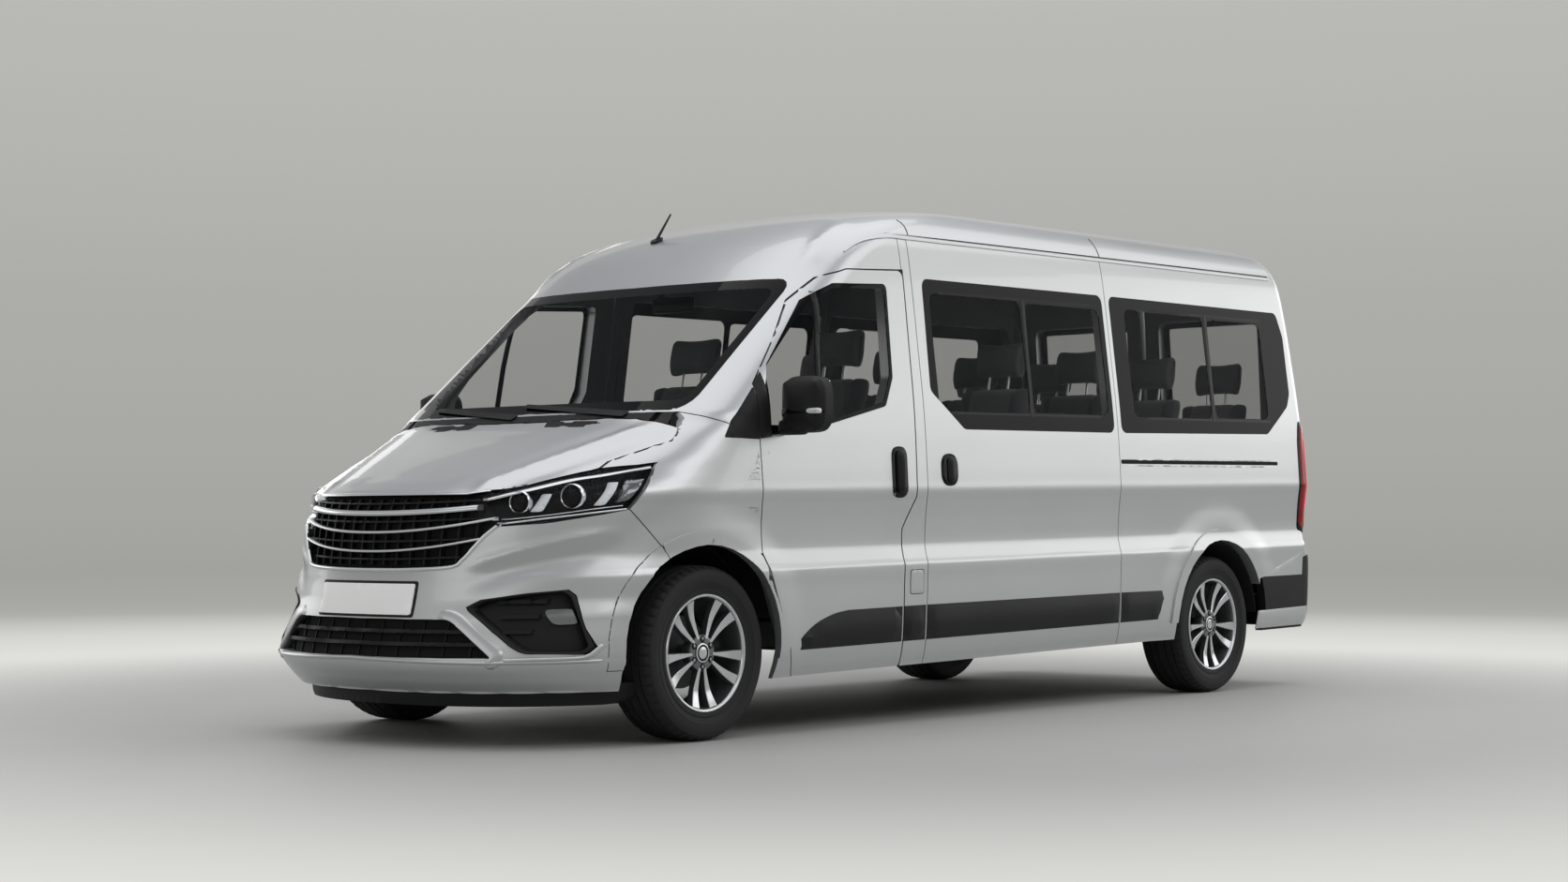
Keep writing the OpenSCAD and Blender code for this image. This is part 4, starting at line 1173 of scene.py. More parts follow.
@dataclass
class Patch:
    """Plate on the body skin, drawn as an outline from one side.

    Attributes:
        name: Name of the piece.
        outline: Across and height of its rim.
        view: Side from which it is drawn.
        side: Side of the van, for a side view.
        out: Height of its rim above the skin.
        crown: Height of its middle above its rim.
        edge: Width over which it rises to the crown.
        depth: How far its wall reaches below its rim.
        cell: Largest spacing of its points.
    """

    name: str
    outline: Outline
    view: View = View.SIDE
    side: Side = Side.LEFT
    out: float = 0.001
    crown: float = 0.0
    edge: float = 0.008
    depth: float = 0.012
    cell: float = 0.04

    def make(self) -> Obj:
        """The plate as an object without a finish.

        Returns:
            The plate.
        """
        form = bmesh.new()
        rim = self._rim()
        face = form.faces.new([form.verts.new((a, b, 0.0)) for a, b in rim])
        face.normal_update()
        if face.normal.z < 0:
            face.normal_flip()
        for part in (0.3, 0.7) if self.crown else ():
            bmesh.ops.inset_region(form, faces=[face], thickness=self.edge * part, use_even_offset=True)
        bmesh.ops.triangulate(form, faces=form.faces[:])
        self._divide(form, rim)
        open_edges = [edge for edge in form.edges if len(edge.link_faces) == 1]
        wall = bmesh.ops.extrude_edge_only(form, edges=open_edges)["geom"]
        for part in wall:
            if isinstance(part, bmesh.types.BMVert):
                part.co.z = -1.0
        bmesh.ops.triangulate(form, faces=form.faces[:])
        mesh = bpy.data.meshes.new(self.name)
        form.to_mesh(mesh)
        form.free()
        self._fit(mesh, np.array(rim))
        made = new_object(self.name, mesh)
        soften(made, 35.0)
        return made

    def _rim(self) -> Points:
        """Outline with its long edges divided.

        Returns:
            The divided outline.
        """
        found: Points = []
        corners = [np.array(p, float) for p in self.outline]
        for a, b in zip(corners, corners[1:] + corners[:1]):
            far = np.linalg.norm(b - a)
            if far < 1e-6:
                continue
            parts = max(1, math.ceil(far / self.cell))
            found += [tuple(a + (b - a) * k / parts) for k in range(parts)]
        return found

    def _divide(self, form: bmesh.types.BMesh, rim: Outline) -> None:
        """Cuts the flat plate into cells.

        Args:
            form: The flat plate.
            rim: Its outline.
        """
        spread = np.array(rim)
        for axis in (0, 1):
            low, high = spread[:, axis].min(), spread[:, axis].max()
            parts = math.ceil((high - low) / self.cell)
            for k in range(1, parts):
                bisect(form, axis, low + (high - low) * k / parts)

    def _fit(self, mesh: bpy.types.Mesh, rim: Array) -> None:
        """Lays the flat plate on the skin.

        Args:
            mesh: The flat plate.
            rim: Its outline.
        """
        flat = mesh_points(mesh)
        rise = np.sin(np.minimum(from_outline(flat[:, :2], rim) / self.edge, 1.0) * math.pi / 2)
        out = np.where(flat[:, 2] < -0.5, self.out - self.depth, self.out + self.crown * rise)
        points = SKIN.seen(flat[:, 0], flat[:, 1], out, self.view, self.side.value)
        mesh.vertices.foreach_set("co", points.ravel())
        mesh.update()
        places, facing = (np.array([getattr(p, word) for p in mesh.polygons]) for word in ("center",
                                                                                           "normal"))
        if (facing * SKIN.normals(places)).sum() < 0:
            mesh.flip_normals()
        mesh.update()


def patch(finish: Finish, name: str, outline: Outline, **how: object) -> Obj:
    """Plate on the skin with its finish; the further words are fields of Patch."""
    return coat(Patch(name, outline, **how).make(), finish)


def plate(
    finish: Finish, name: str, outline: Outline, body: str = "body", **how: object
) -> Obj:
    """Makes, dresses and settles one plate on the skin.

    Args:
        finish: Finish of the plate, with its slot.
        name: Name of the piece.
        outline: Across and height of its rim.
        body: Body that it rides on.
        how: Further fields of the plate.

    Returns:
        The plate.
    """
    return settled(patch(finish, name, outline, **how), body, finish.slot)


# Studio


@dataclass
class Studio:
    """Camera, pale floor with a curved backdrop and painted light on both, and soft light."""

    eye: Triple = (9.088, 7.359, 0.817)
    yaw: float = math.radians(220.04)
    pitch: float = math.radians(1.93)
    focal_px: float = 2704.0
    picture_w: float = 1672.0
    sensor: float = 36.0
    floor_r: float = 15.0
    curve_r: float = 8.0
    wall_z: float = 13.0

    def build(self) -> None:
        """Sets up the camera, the stage and the light."""
        self._camera()
        self._backdrop()
        self._light()

    def _camera(self) -> None:
        """Camera at the photograph's viewing angle."""
        data = bpy.data.cameras.new("view")
        data.sensor_fit = "HORIZONTAL"
        data.sensor_width = self.sensor
        data.lens = self.sensor * self.focal_px / self.picture_w
        data.clip_end = 200.0
        camera = bpy.data.objects.new("view", data)
        bpy.context.scene.collection.objects.link(camera)
        level = math.cos(self.pitch)
        forward = Vector((math.cos(self.yaw) * level, math.sin(self.yaw) * level, math.sin(self.pitch)))
        camera.rotation_euler = forward.to_track_quat("-Z", "Y").to_euler()
        camera.location = self.eye
        bpy.context.scene.camera = camera

    def _backdrop(self) -> None:
        """Pale floor that carries the shadow and curves up into a wall all round."""
        profile = [(0.0, 0.0), (4.0, 0.0), (9.0, 0.0), (self.floor_r, 0.0)]
        for k in range(1, 13):
            turn = k / 12 * math.pi / 2
            profile.append((self.floor_r + self.curve_r * math.sin(turn),
                            self.curve_r * (1 - math.cos(turn))))
        profile.append((self.floor_r + self.curve_r, self.wall_z))
        floor = spun("floor", profile, 96, closed=False)
        floor.data.flip_normals()
        soften(floor, 60.0)
        coat(floor, Finish("floor_paint", (0.52, 0.52, 0.505), 0.6, vary=0.01))
        self._pale(floor.data.materials[0].node_tree)

    def _pale(self, tree: Tree) -> None:
        """Paints light on the far floor and the wall, seen by the camera, through glass, and in gloss on the
        wall: pale round the van, a soft grey further out, and paler again to the top of the wall.

        Args:
            tree: Nodes of the floor's material.
        """
        place = add(tree, "ShaderNodeTexCoord").outputs["Object"]
        height = add(tree, "ShaderNodeSeparateXYZ", Vector=place).outputs["Z"]
        far = add(tree, "ShaderNodeVectorMath", operation="LENGTH", Vector=place).outputs["Value"]
        share = add(tree, "ShaderNodeMapRange", interpolation_type="SMOOTHSTEP", From_Min=3.0,
                    From_Max=self.floor_r - 8.2, Value=far)
        # Painted light: the emission's brightness by distance makes a pool of light round the van that fades
        # outwards and grows paler up the wall.
        ramp = add(tree, "ShaderNodeValToRGB", Fac=maths(tree, "DIVIDE", far, 27.0))
        painted_light_tones = ((0.185, 0.74), (0.23, 0.76), (0.34, 0.66), (0.5, 0.43), (0.64, 0.36), (0.82, 0.42),
                 (0.9, 0.49), (0.95, 0.65), (1.0, 0.72))
        while len(ramp.color_ramp.elements) < len(painted_light_tones):
            ramp.color_ramp.elements.new(1.0)
        for stop, (where, tone) in zip(ramp.color_ramp.elements, painted_light_tones):
            stop.position = where
            stop.color = (tone, tone, tone * 0.955, 1.0)
        shine = add(tree, "ShaderNodeEmission", Color=ramp.outputs["Color"])
        rays = add(tree, "ShaderNodeLightPath").outputs
        wall = maths(tree, "GREATER_THAN", height, 0.2)
        glossy = maths(tree, "MULTIPLY", rays["Is Glossy Ray"], wall)
        seen = maths(tree, "MAXIMUM", rays["Is Camera Ray"], glossy)
        seen = maths(tree, "MAXIMUM", seen, rays["Is Transmission Ray"])
        mix = add(tree, "ShaderNodeMixShader", Fac=maths(tree, "MULTIPLY", seen, share.outputs["Result"]))
        tree.links.new(tree.nodes["Principled BSDF"].outputs["BSDF"], mix.inputs[1])
        tree.links.new(shine.outputs["Emission"], mix.inputs[2])
        fill(tree.nodes["Material Output"], Surface=mix.outputs["Shader"])

    def _light(self) -> None:
        """Soft boxes over and beside the van, and an even pale room."""
        scene = bpy.context.scene
        scene.view_settings.view_transform = "Standard"
        world = bpy.data.worlds.new("room")
        world.use_nodes = True
        scene.world = world
        fill(world.node_tree.nodes["Background"], Color=(0.95, 0.97, 1.0, 1.0), Strength=0.42)
        for row in (
            ("over", (0.0, 0.0, 7.5), (0.0, 0.0, 0.0), (12.0, 7.0), 240.0),
            ("left_low", (-13.0, 9.0, 3.8), (-0.5, 0.5, 1.2), (13.0, 4.2), 195.0),
            ("left_high", (-7.5, 7.0, 8.5), (-0.5, 0.5, 1.8), (12.0, 5.0), 190.0),
            ("left_front", (1.5, 10.5, 7.5), (0.8, 0.3, 1.2), (9.0, 4.0), 165.0),
            ("front", (13.0, 1.5, 3.4), (0.0, 0.0, 1.0), (9.0, 2.6), 54.0),
            ("right", (-1.0, -11.0, 3.6), (0.0, 0.0, 1.2), (15.0, 3.6), 200.0),
            ("rear", (-13.0, 0.0, 3.4), (0.0, 0.0, 1.2), (9.0, 2.8), 100.0),
        ):
            self._box_light(*row)

    @staticmethod
    def _box_light(
        name: str, place: Sequence[float], aim: Sequence[float], size: tuple[float, float], power: float
    ) -> None:
        """Adds one soft box.

        Args:
            name: Name of the lamp.
            place: Where it hangs.
            aim: Point that it faces.
            size: Width and height.
            power: Watts.
        """
        data = bpy.data.lights.new(name, "AREA")
        data.shape = "RECTANGLE"
        data.size, data.size_y = size
        data.energy = power
        lamp = bpy.data.objects.new(name, data)
        lamp.visible_camera = False
        lamp.location = place
        lamp.rotation_euler = (Vector(aim) - Vector(place)).to_track_quat("-Z", "Y").to_euler()
        bpy.context.scene.collection.objects.link(lamp)


# Body


def arch_bulge(points: Array) -> Array:
    """Soft swelling of the body side round each wheel.

    Args:
        points: Rows of x, y, z.

    Returns:
        Height above the skin at each point.
    """
    height = SKIN.height_of(points)
    rise = np.zeros(len(points))
    for x, z, far in ((1.9, 0.376, 0.585), (-1.875, 0.31, 0.615)):
        away = np.hypot(points[:, 0] - x, height - z)
        t = np.clip((far - away) / 0.15, 0, 1)
        rise += 0.009 * t * t * (3 - 2 * t)
    return rise * np.clip((np.abs(points[:, 1]) - 0.7) / 0.15, 0, 1)


def hood_ridges(points: Array) -> Array:
    """Two folds that run from the windscreen's corners in towards the grille.

    Args:
        points: Rows of x, y, z.

    Returns:
        Height above the skin at each point.
    """
    x, y = points[:, 0], np.abs(points[:, 1])
    ridge = 0.44 + np.maximum(2.55 - x, 0) * 0.47
    away = y - ridge
    fold = 0.01 * np.exp(-((away / 0.035) ** 2)) - 0.007 * np.exp(-(((away - 0.085) / 0.05) ** 2))
    inner = 0.005 * np.exp(-(((away + 0.12) / 0.09) ** 2))
    fade = np.clip((2.66 - x) / 0.1, 0, 1) * np.clip((x - 1.93) / 0.1, 0, 1)
    return (fold + inner) * fade


def roof_folds(points: Array) -> Array:
    """Fold that runs up each front pillar and dies out over the roof.

    Args:
        points: Rows of x, y, z.

    Returns:
        Height above the skin at each point.
    """
    line = np.array(((1.19, 0.785, 1.83), (1.156, 0.777, 1.862), (1.065, 0.758, 1.939), (0.944, 0.727, 2.024),
                     (0.793, 0.668, 2.098), (0.609, 0.604, 2.156), (0.354, 0.525, 2.203)))
    flat = np.column_stack((points[:, 0], np.abs(points[:, 1]), SKIN.height_of(points)))
    near = np.full(len(points), np.inf)
    for a, b in zip(line[:-1], line[1:]):
        t = np.clip((flat - a) @ (b - a) / ((b - a) @ (b - a)), 0, 1)
        near = np.minimum(near, np.linalg.norm(flat - a - t[:, None] * (b - a), axis=1))
    fade = np.clip((2.185 - flat[:, 2]) / 0.16, 0, 1) * np.clip((flat[:, 2] - 1.85) / 0.1, 0, 1)
    return 0.012 * np.exp(-((near / 0.042) ** 2)) * fade * fade * (3 - 2 * fade)


def bumper_folds(points: Array) -> Array:
    """Crease under each headlamp and the hollow below it.

    Args:
        points: Rows of x, y, z.

    Returns:
        Height above the skin at each point.
    """
    y, height = np.abs(points[:, 1]), SKIN.height_of(points)
    away = height - 0.715 - 0.31 * np.clip(y - 0.445, 0, 1)
    fold = 0.006 * np.exp(-((away / 0.022) ** 2)) - 0.012 * np.exp(-(((away + 0.062) / 0.045) ** 2))
    fade = np.clip((y - 0.42) / 0.14, 0, 1) * np.clip((0.86 - y) / 0.1, 0, 1)
    return fold * fade * fade * (3 - 2 * fade) + arch_bulge(points)


@dataclass
class BodyPanels:
    """Painted outer panels, bumper and cowl."""

    def build(self) -> None:
        """Makes every outer panel."""
        words = [side.word for side in Side]
        door_grid = (0.05, 0.0, 0.022)
        table = (
            ("roof_and_pillars", "body", (0.04, 0.04, 0.02), 0.02, roof_folds),
            *((f"body_side_{word}", "body", (0.04, 0.03, 0.022), 0.02, arch_bulge) for word in words),
            *((f"sliding_door_{word}", "body", door_grid, 0.02, None) for word in words),
            ("fenders", "body", (0.03, 0.0, 0.02), 0.012, arch_bulge),
            ("hood", "bonnet", (0.03, 0.03, 0.02), 0.02, hood_ridges),
            ("front_bumper", "body", (0.03, 0.03, 0.015), 0.02, bumper_folds),
            *((f"front_door_{word}", f"door_front_{word}", door_grid, 0.02, arch_bulge) for word in words),
            *((f"rear_door_{word}", f"door_rear_{word}", (0.0, 0.05, 0.025), 0.02, None) for word in words),
        )
        for name, body, grid, reach, relief in table:
            panel = SkinPanel(name, body, grid, reach=reach, relief=relief)
            panel.build(PAINT.material(), LINING.material(), "silver_paint")
        for name, grid in (("rear_bumper", (0.04, 0.03, 0.022)), ("cowl", (0.05, 0.05, 0.03))):
            black = BLACK_PLASTIC.material()
            SkinPanel(name, "body", grid).build(black, black, "black_plastic")
        for wheel_side in Side:
            self._wheel_house(wheel_side)

    @staticmethod
    def _wheel_house(side: Side) -> None:
        """Half drum over a rear wheel, black for painted shade inside the arch.

        Args:
            side: Side of the van.
        """
        middle, r, inner, outer, wall = (-1.875, 0.31 + 1.875 * SKIN.rake), 0.398, 0.585, 0.925, 0.004
        turns = [math.radians(a) for a in range(6, 175, 7)]
        rows = ((r, outer), (r, inner), (0.02, inner), (0.02, inner - wall), (r + wall, inner - wall),
                (r + wall, outer))
        points = [
            (middle[0] + far * math.cos(t), side.value * y, middle[1] + far * math.sin(t))
            for far, y in rows for t in turns
        ]
        drum = from_faces(f"wheel_house_{side.word}", points, strip_faces(len(rows), len(turns), False))
        dressed(drum, SHADOW_BLACK)


@dataclass
class Glazing:
    """Panes with their printed borders, and the bars on them."""

    thick: float = 0.005
    screen: Outline = ((0.8, 1.296), (0.78, 1.848), (-0.78, 1.848), (-0.8, 1.296))
    rear: Outline = ((0.1, 1.27), (0.7, 1.27), (0.7, 1.87), (0.1, 1.87))
    door: Outline = (
        (0.707, 1.839), (0.727, 1.459), (0.785, 1.333), (1.162, 1.25), (1.545, 1.187), (1.545, 1.462),
        (1.47, 1.532), (1.219, 1.758), (1.062, 1.824),
    )

    def build(self) -> None:
        """Makes every pane."""
        self._pane("windscreen", "body", SCREEN_GLASS, (0.05, 0.05, 0.03), rounded(self.screen, 0.09), 1)
        self._pane("side_glass", "body", SIDE_GLASS, (0.06, 0.0, 0.03), None, 0)
        for side in Side:
            word = side.word
            front, rear = rounded(self.door, 0.03), rounded(mirrored(self.rear, side.value), 0.05)
            self._pane(f"front_glass_{word}", f"door_front_{word}", DOOR_GLASS, (0.04, 0.0, 0.03), front, 0)
            self._pane(f"rear_glass_{word}", f"door_rear_{word}", REAR_GLASS, (0.0, 0.04, 0.03), rear, 1)
            self._bars(side)

    def _pane(
        self, name: str, body: str, finish: GlassFinish, grid: Triple,
        outline: Outline | None, axis: int,
    ) -> None:
        """Makes one pane, with the distance from its rim where its border needs that.

        Args:
            name: CAD node of the pane.
            body: Body that it rides on.
            finish: Glass of the pane.
            grid: Spacing of its points.
            outline: Its rim across and in height, or none.
            axis: Axis that runs across the outline.
        """
        panel = SkinPanel(name, body, grid, out=-0.001, reach=0.02, thick=self.thick)
        pane = panel.build(finish.material(), finish.material(), "window_glass")
        if outline is not None:
            points = mesh_points(pane.data)
            flat = np.column_stack((points[:, axis], SKIN.height_of(points)))
            edge = pane.data.attributes.new("edge", "FLOAT", "POINT")
            edge.data.foreach_set("value", from_outline(flat, np.array(outline)))

    def _bars(self, side: Side) -> None:
        """Quarter-light bar, slider rails and handles on the side panes.

        Args:
            side: Side of the van.
        """
        word = side.word
        bar = band([(1.166, 1.79), (1.186, 1.67), (1.206, 1.55), (1.232, 1.243)], 0.026)
        plate(BLACK_PLASTIC, f"quarter_light_bar_{word}", bar, f"door_front_{word}", side=side, out=0.0,
              crown=0.004, edge=0.006, depth=0.006)
        for name, x in (("slide", -0.275), ("quarter", -1.857)):
            post = [(x - 0.012, 1.3), (x + 0.012, 1.3), (x - 0.002, 1.83), (x - 0.026, 1.83)]
            plate(GLOSS_BLACK, f"{name}_pane_post_{word}", post, side=side, out=0.0, crown=0.0025, edge=0.004,
                  depth=0.006)
            for end, z in (("low", 1.309), ("high", 1.826)):
                rail = oblong(x - 0.56, z - 0.005, x + 0.62, z + 0.005)
                plate(GLOSS_BLACK, f"{name}_pane_rail_{end}_{word}", rail, side=side, out=-0.001, crown=0.003,
                      edge=0.003, depth=0.005)


# Nose


@dataclass
class NoseTrim:
    """Grille, lower intake, fog surrounds and blank plate."""

    opening: Outline = (
        (0.476, 1.01), (0.463, 0.945), (0.546, 0.861), (0.5, 0.822), (0.434, 0.738), (0.394, 0.712),
        (0.2, 0.702),
    )
    intake: Outline = ((0.415, 0.522), (0.445, 0.508), (0.6, 0.382))
    fog: Outline = (
        (0.47, 0.566), (0.515, 0.594), (0.655, 0.617), (0.757, 0.628), (0.775, 0.608), (0.843, 0.412),
        (0.824, 0.39), (0.686, 0.397), (0.655, 0.417),
    )

    def build(self) -> None:
        """Makes every piece of the nose."""
        self._grille()
        self._intake()
        for side in Side:
            self._fog(side)
        plate(BLACK_PLASTIC, "plate_holder", oblong(-0.268, 0.528, 0.268, 0.662, 0.012), out=0.001,
              crown=0.004, edge=0.006, **FRONT)
        plate(PAINTED_GLOW_PLATE_WHITE, "blank_plate", oblong(-0.258, 0.538, 0.258, 0.652, 0.01), out=0.0085, crown=0.002,
              edge=0.003, depth=0.006, **FRONT)
        for side in Side:
            self._vents(side)
        dam = rounded([(-0.8, 0.196), (0.8, 0.196), (0.86, 0.275), (-0.86, 0.275)], 0.02)
        plate(BLACK_PLASTIC, "front_valance", dam, out=-0.045, crown=0.006, edge=0.02, depth=0.02, **FRONT)

    @staticmethod
    def _whole(half: Outline) -> Points:
        """Outline across both sides from its left half, given from top to bottom."""
        return list(half) + mirrored(half[::-1], -1)

    def _grille(self) -> None:
        """Black sheet of painted shade behind the grille, with upright fins, three bright bars and the bright
        lower trim.
        """
        # The back is a black sheet of painted shade.
        pieces = [patch(SHADOW_BLACK, "grille_back", self._whole(self.opening), out=-0.036, depth=0.006,
                        **FRONT)]
        for i in range(-7, 8):
            y = i * 0.066
            top = 0.965 if abs(y) < 0.46 else 0.93
            low = 0.722 + max(0.0, abs(y) - 0.4) * 0.9
            fin = oblong(y - 0.003, low, y + 0.003, top)
            shape = {"out": -0.016, "crown": 0.002, "edge": 0.002, "depth": 0.02}
            pieces.append(patch(BLACK_PLASTIC, f"fin_{i}", fin, **shape, **FRONT))
        for row, (z, reach) in enumerate(((0.742, 0.41), (0.808, 0.48), (0.882, 0.5), (0.95, 0.455))):
            rung = band([(y, z + 0.05 * y * y) for y in np.linspace(-reach, reach, 25)], 0.007)
            shape = {"out": -0.014, "crown": 0.003, "edge": 0.003, "depth": 0.02}
            pieces.append(patch(BLACK_PLASTIC, f"rung_{row}", rung, **shape, **FRONT))
        settled(joined("grille_back", pieces), "body", "black_plastic", "grille")
        bars = ((0.772, 0.845, 0.49, 0.012), (0.843, 0.92, 0.525, 0.013), (0.914, 0.945, 0.468, 0.024))
        for i, (middle, end, reach, width) in enumerate(bars):
            spread = np.linspace(-reach, reach, 49)
            path = [(y, middle + (end - middle) * 0.62 * (abs(y) / reach) ** 2.2) for y in spread]
            dressed(strip(f"grille_bar_{i + 1}", path, width, -0.004, 0.01, 0.02, **FRONT), CHROME)
        lower = curve([(0.545, 0.866), (0.508, 0.83), (0.472, 0.785), (0.436, 0.742), (0.39, 0.714),
                       (0.2, 0.704), (0.0, 0.702)], 8)
        trim = lower + mirrored(lower[-2::-1], -1)
        dressed(strip("grille_lower_trim", trim, 0.017, -0.003, 0.009, 0.02, **FRONT), CHROME)
        edge = [(y, 0.9855 + 0.012 * max(0.0, abs(y) - 0.41) / 0.07) for y in np.linspace(-0.48, 0.48, 41)]
        dressed(strip("hood_edge_trim", edge, 0.01, 0.001, 0.004, 0.012, **FRONT), CHROME, "bonnet")

    def _intake(self) -> None:
        """Lower intake with a black sheet of painted shade behind it, two thin bars, a frame in body paint,
        and the lip below it.
        """
        whole = self._whole(self.intake)
        rim = np.array(rounded(whole, 0.016))
        sign = self._outward(rim)
        rows = [(offset(rim, sign * away, True), out) for away, out in (
            (0.04, -0.008), (0.04, 0.0), (0.032, 0.005), (0.012, 0.008), (0.002, 0.006), (-0.002, 0.0),
            (-0.002, -0.034))]
        dressed(lofted("intake_frame", rows, True, **FRONT), PAINT)
        lip = [(y, 0.366 + 0.012 * max(0.0, 1 - abs(y) / 0.58)) for y in np.linspace(-0.86, 0.86, 61)]
        dressed(strip("bumper_lip", lip, 0.016, -0.001, 0.009, 0.012, **FRONT), PAINT)
        # The back is a black sheet of painted shade.
        pieces = [patch(SHADOW_BLACK, "intake_back", whole, out=-0.035, depth=0.006, **FRONT)]
        for i in range(-5, 6):
            y = i * 0.1
            top = 0.516 if abs(y) < 0.42 else 0.516 - (abs(y) - 0.42) * 0.74
            fin = oblong(y - 0.0025, 0.384, y + 0.0025, top)
            pieces.append(patch(BLACK_PLASTIC, f"mesh_{i}", fin, out=-0.029, depth=0.01, **FRONT))
        settled(joined("intake_back", pieces), "body", "black_plastic")
        for i, (z, reach) in enumerate(((0.432, 0.535), (0.478, 0.478))):
            path = [(y, z) for y in np.linspace(-reach, reach, 31)]
            plate(BLACK_PLASTIC, f"intake_bar_{i + 1}", band(path, 0.014), out=-0.012, crown=0.005,
                  edge=0.006, depth=0.02, **FRONT)

    def _fog(self, side: Side) -> None:
        """Fog surround with a raised frame, three ribs and a clear lamp.

        Args:
            side: Side of the van.
        """
        word, sign = side.word, side.value
        outline = rounded(mirrored(self.fog, sign), 0.02)
        pieces = [patch(BLACK_PLASTIC, f"fog_back_{word}", outline, out=-0.03, depth=0.006, cell=0.03,
                        **FRONT)]
        for i in range(3):
            start, end = 0.56 + 0.02 * i, 0.7 - 0.01 * i
            z = 0.585 - 0.055 * i + 0.004 * (0.22 + 0.2 * i)
            rib = band([(sign * (start + (end - start) * k / 6), z) for k in range(7)], 0.016)
            shape = {"out": -0.018, "crown": 0.006, "edge": 0.007, "depth": 0.02}
            pieces.append(patch(BLACK_PLASTIC, f"fog_rib_{i}", rib, **shape, **FRONT))
        settled(joined(f"fog_back_{word}", pieces), "body", "black_plastic")
        rim = np.array(outline)
        middle = rim.mean(0)
        inner = middle + (rim - middle) * 0.9
        steps = ((0, -0.02), (0, 0.001), (0.15, 0.005), (0.6, 0.004), (1, -0.004), (1, -0.032))
        rows = [(rim * (1 - t) + inner * t, out) for t, out in steps]
        dressed(lofted(f"fog_frame_{word}", rows, True, **FRONT), BLACK_PLASTIC)
        ledge = curve([(0.64, 0.374), (0.72, 0.377), (0.8, 0.378), (0.838, 0.386), (0.862, 0.425)], 6)
        dressed(strip(f"fog_ledge_{word}", mirrored(ledge, sign), 0.018, -0.001, 0.011, 0.012, **FRONT),
                PAINT)
        lamp = rounded(mirrored([(0.694, 0.556), (0.77, 0.557), (0.788, 0.502), (0.728, 0.499)], sign), 0.02)
        plate(DARK_CHROME, f"fog_bowl_{word}", lamp, out=-0.022, depth=0.01, cell=0.01, **FRONT)
        plate(LENS_CLEAR, f"fog_lens_{word}", lamp, out=-0.01, crown=0.006, edge=0.03, cell=0.012, **FRONT)

    @staticmethod
    def _outward(rim: Array) -> float:
        """Sign that moves a closed outline outwards."""
        after = np.roll(rim, -1, axis=0)
        return -1.0 if (rim[:, 0] * after[:, 1] - after[:, 0] * rim[:, 1]).sum() > 0 else 1.0

    @staticmethod
    def _vents(side: Side) -> None:
        """Slots in the rear of the hood: black plates of painted shade for the openings, with ribs over them.

        Args:
            side: Side of the van.
        """
        s = side.value
        slot = rounded(mirrored([(0.195, 1.268), (0.493, 1.262), (0.513, 1.237), (0.217, 1.243)], s), 0.008)
        plate(SHADOW_BLACK, f"hood_vent_{side.word}", slot, "bonnet", out=0.005, depth=0.014, cell=0.02,
              **FRONT)
        for i in range(3):
            z = 1.245 + 0.0075 * i
            rib = band([(s * (0.22 + 0.29 * k / 8 - 0.004 * i), z - 0.006 * k / 8) for k in range(9)], 0.0032)
            plate(BLACK_PLASTIC, f"hood_vent_rib_{i}_{side.word}", rib, "bonnet", out=0.007, crown=0.003,
                  edge=0.0015, depth=0.01, cell=0.03, **FRONT)


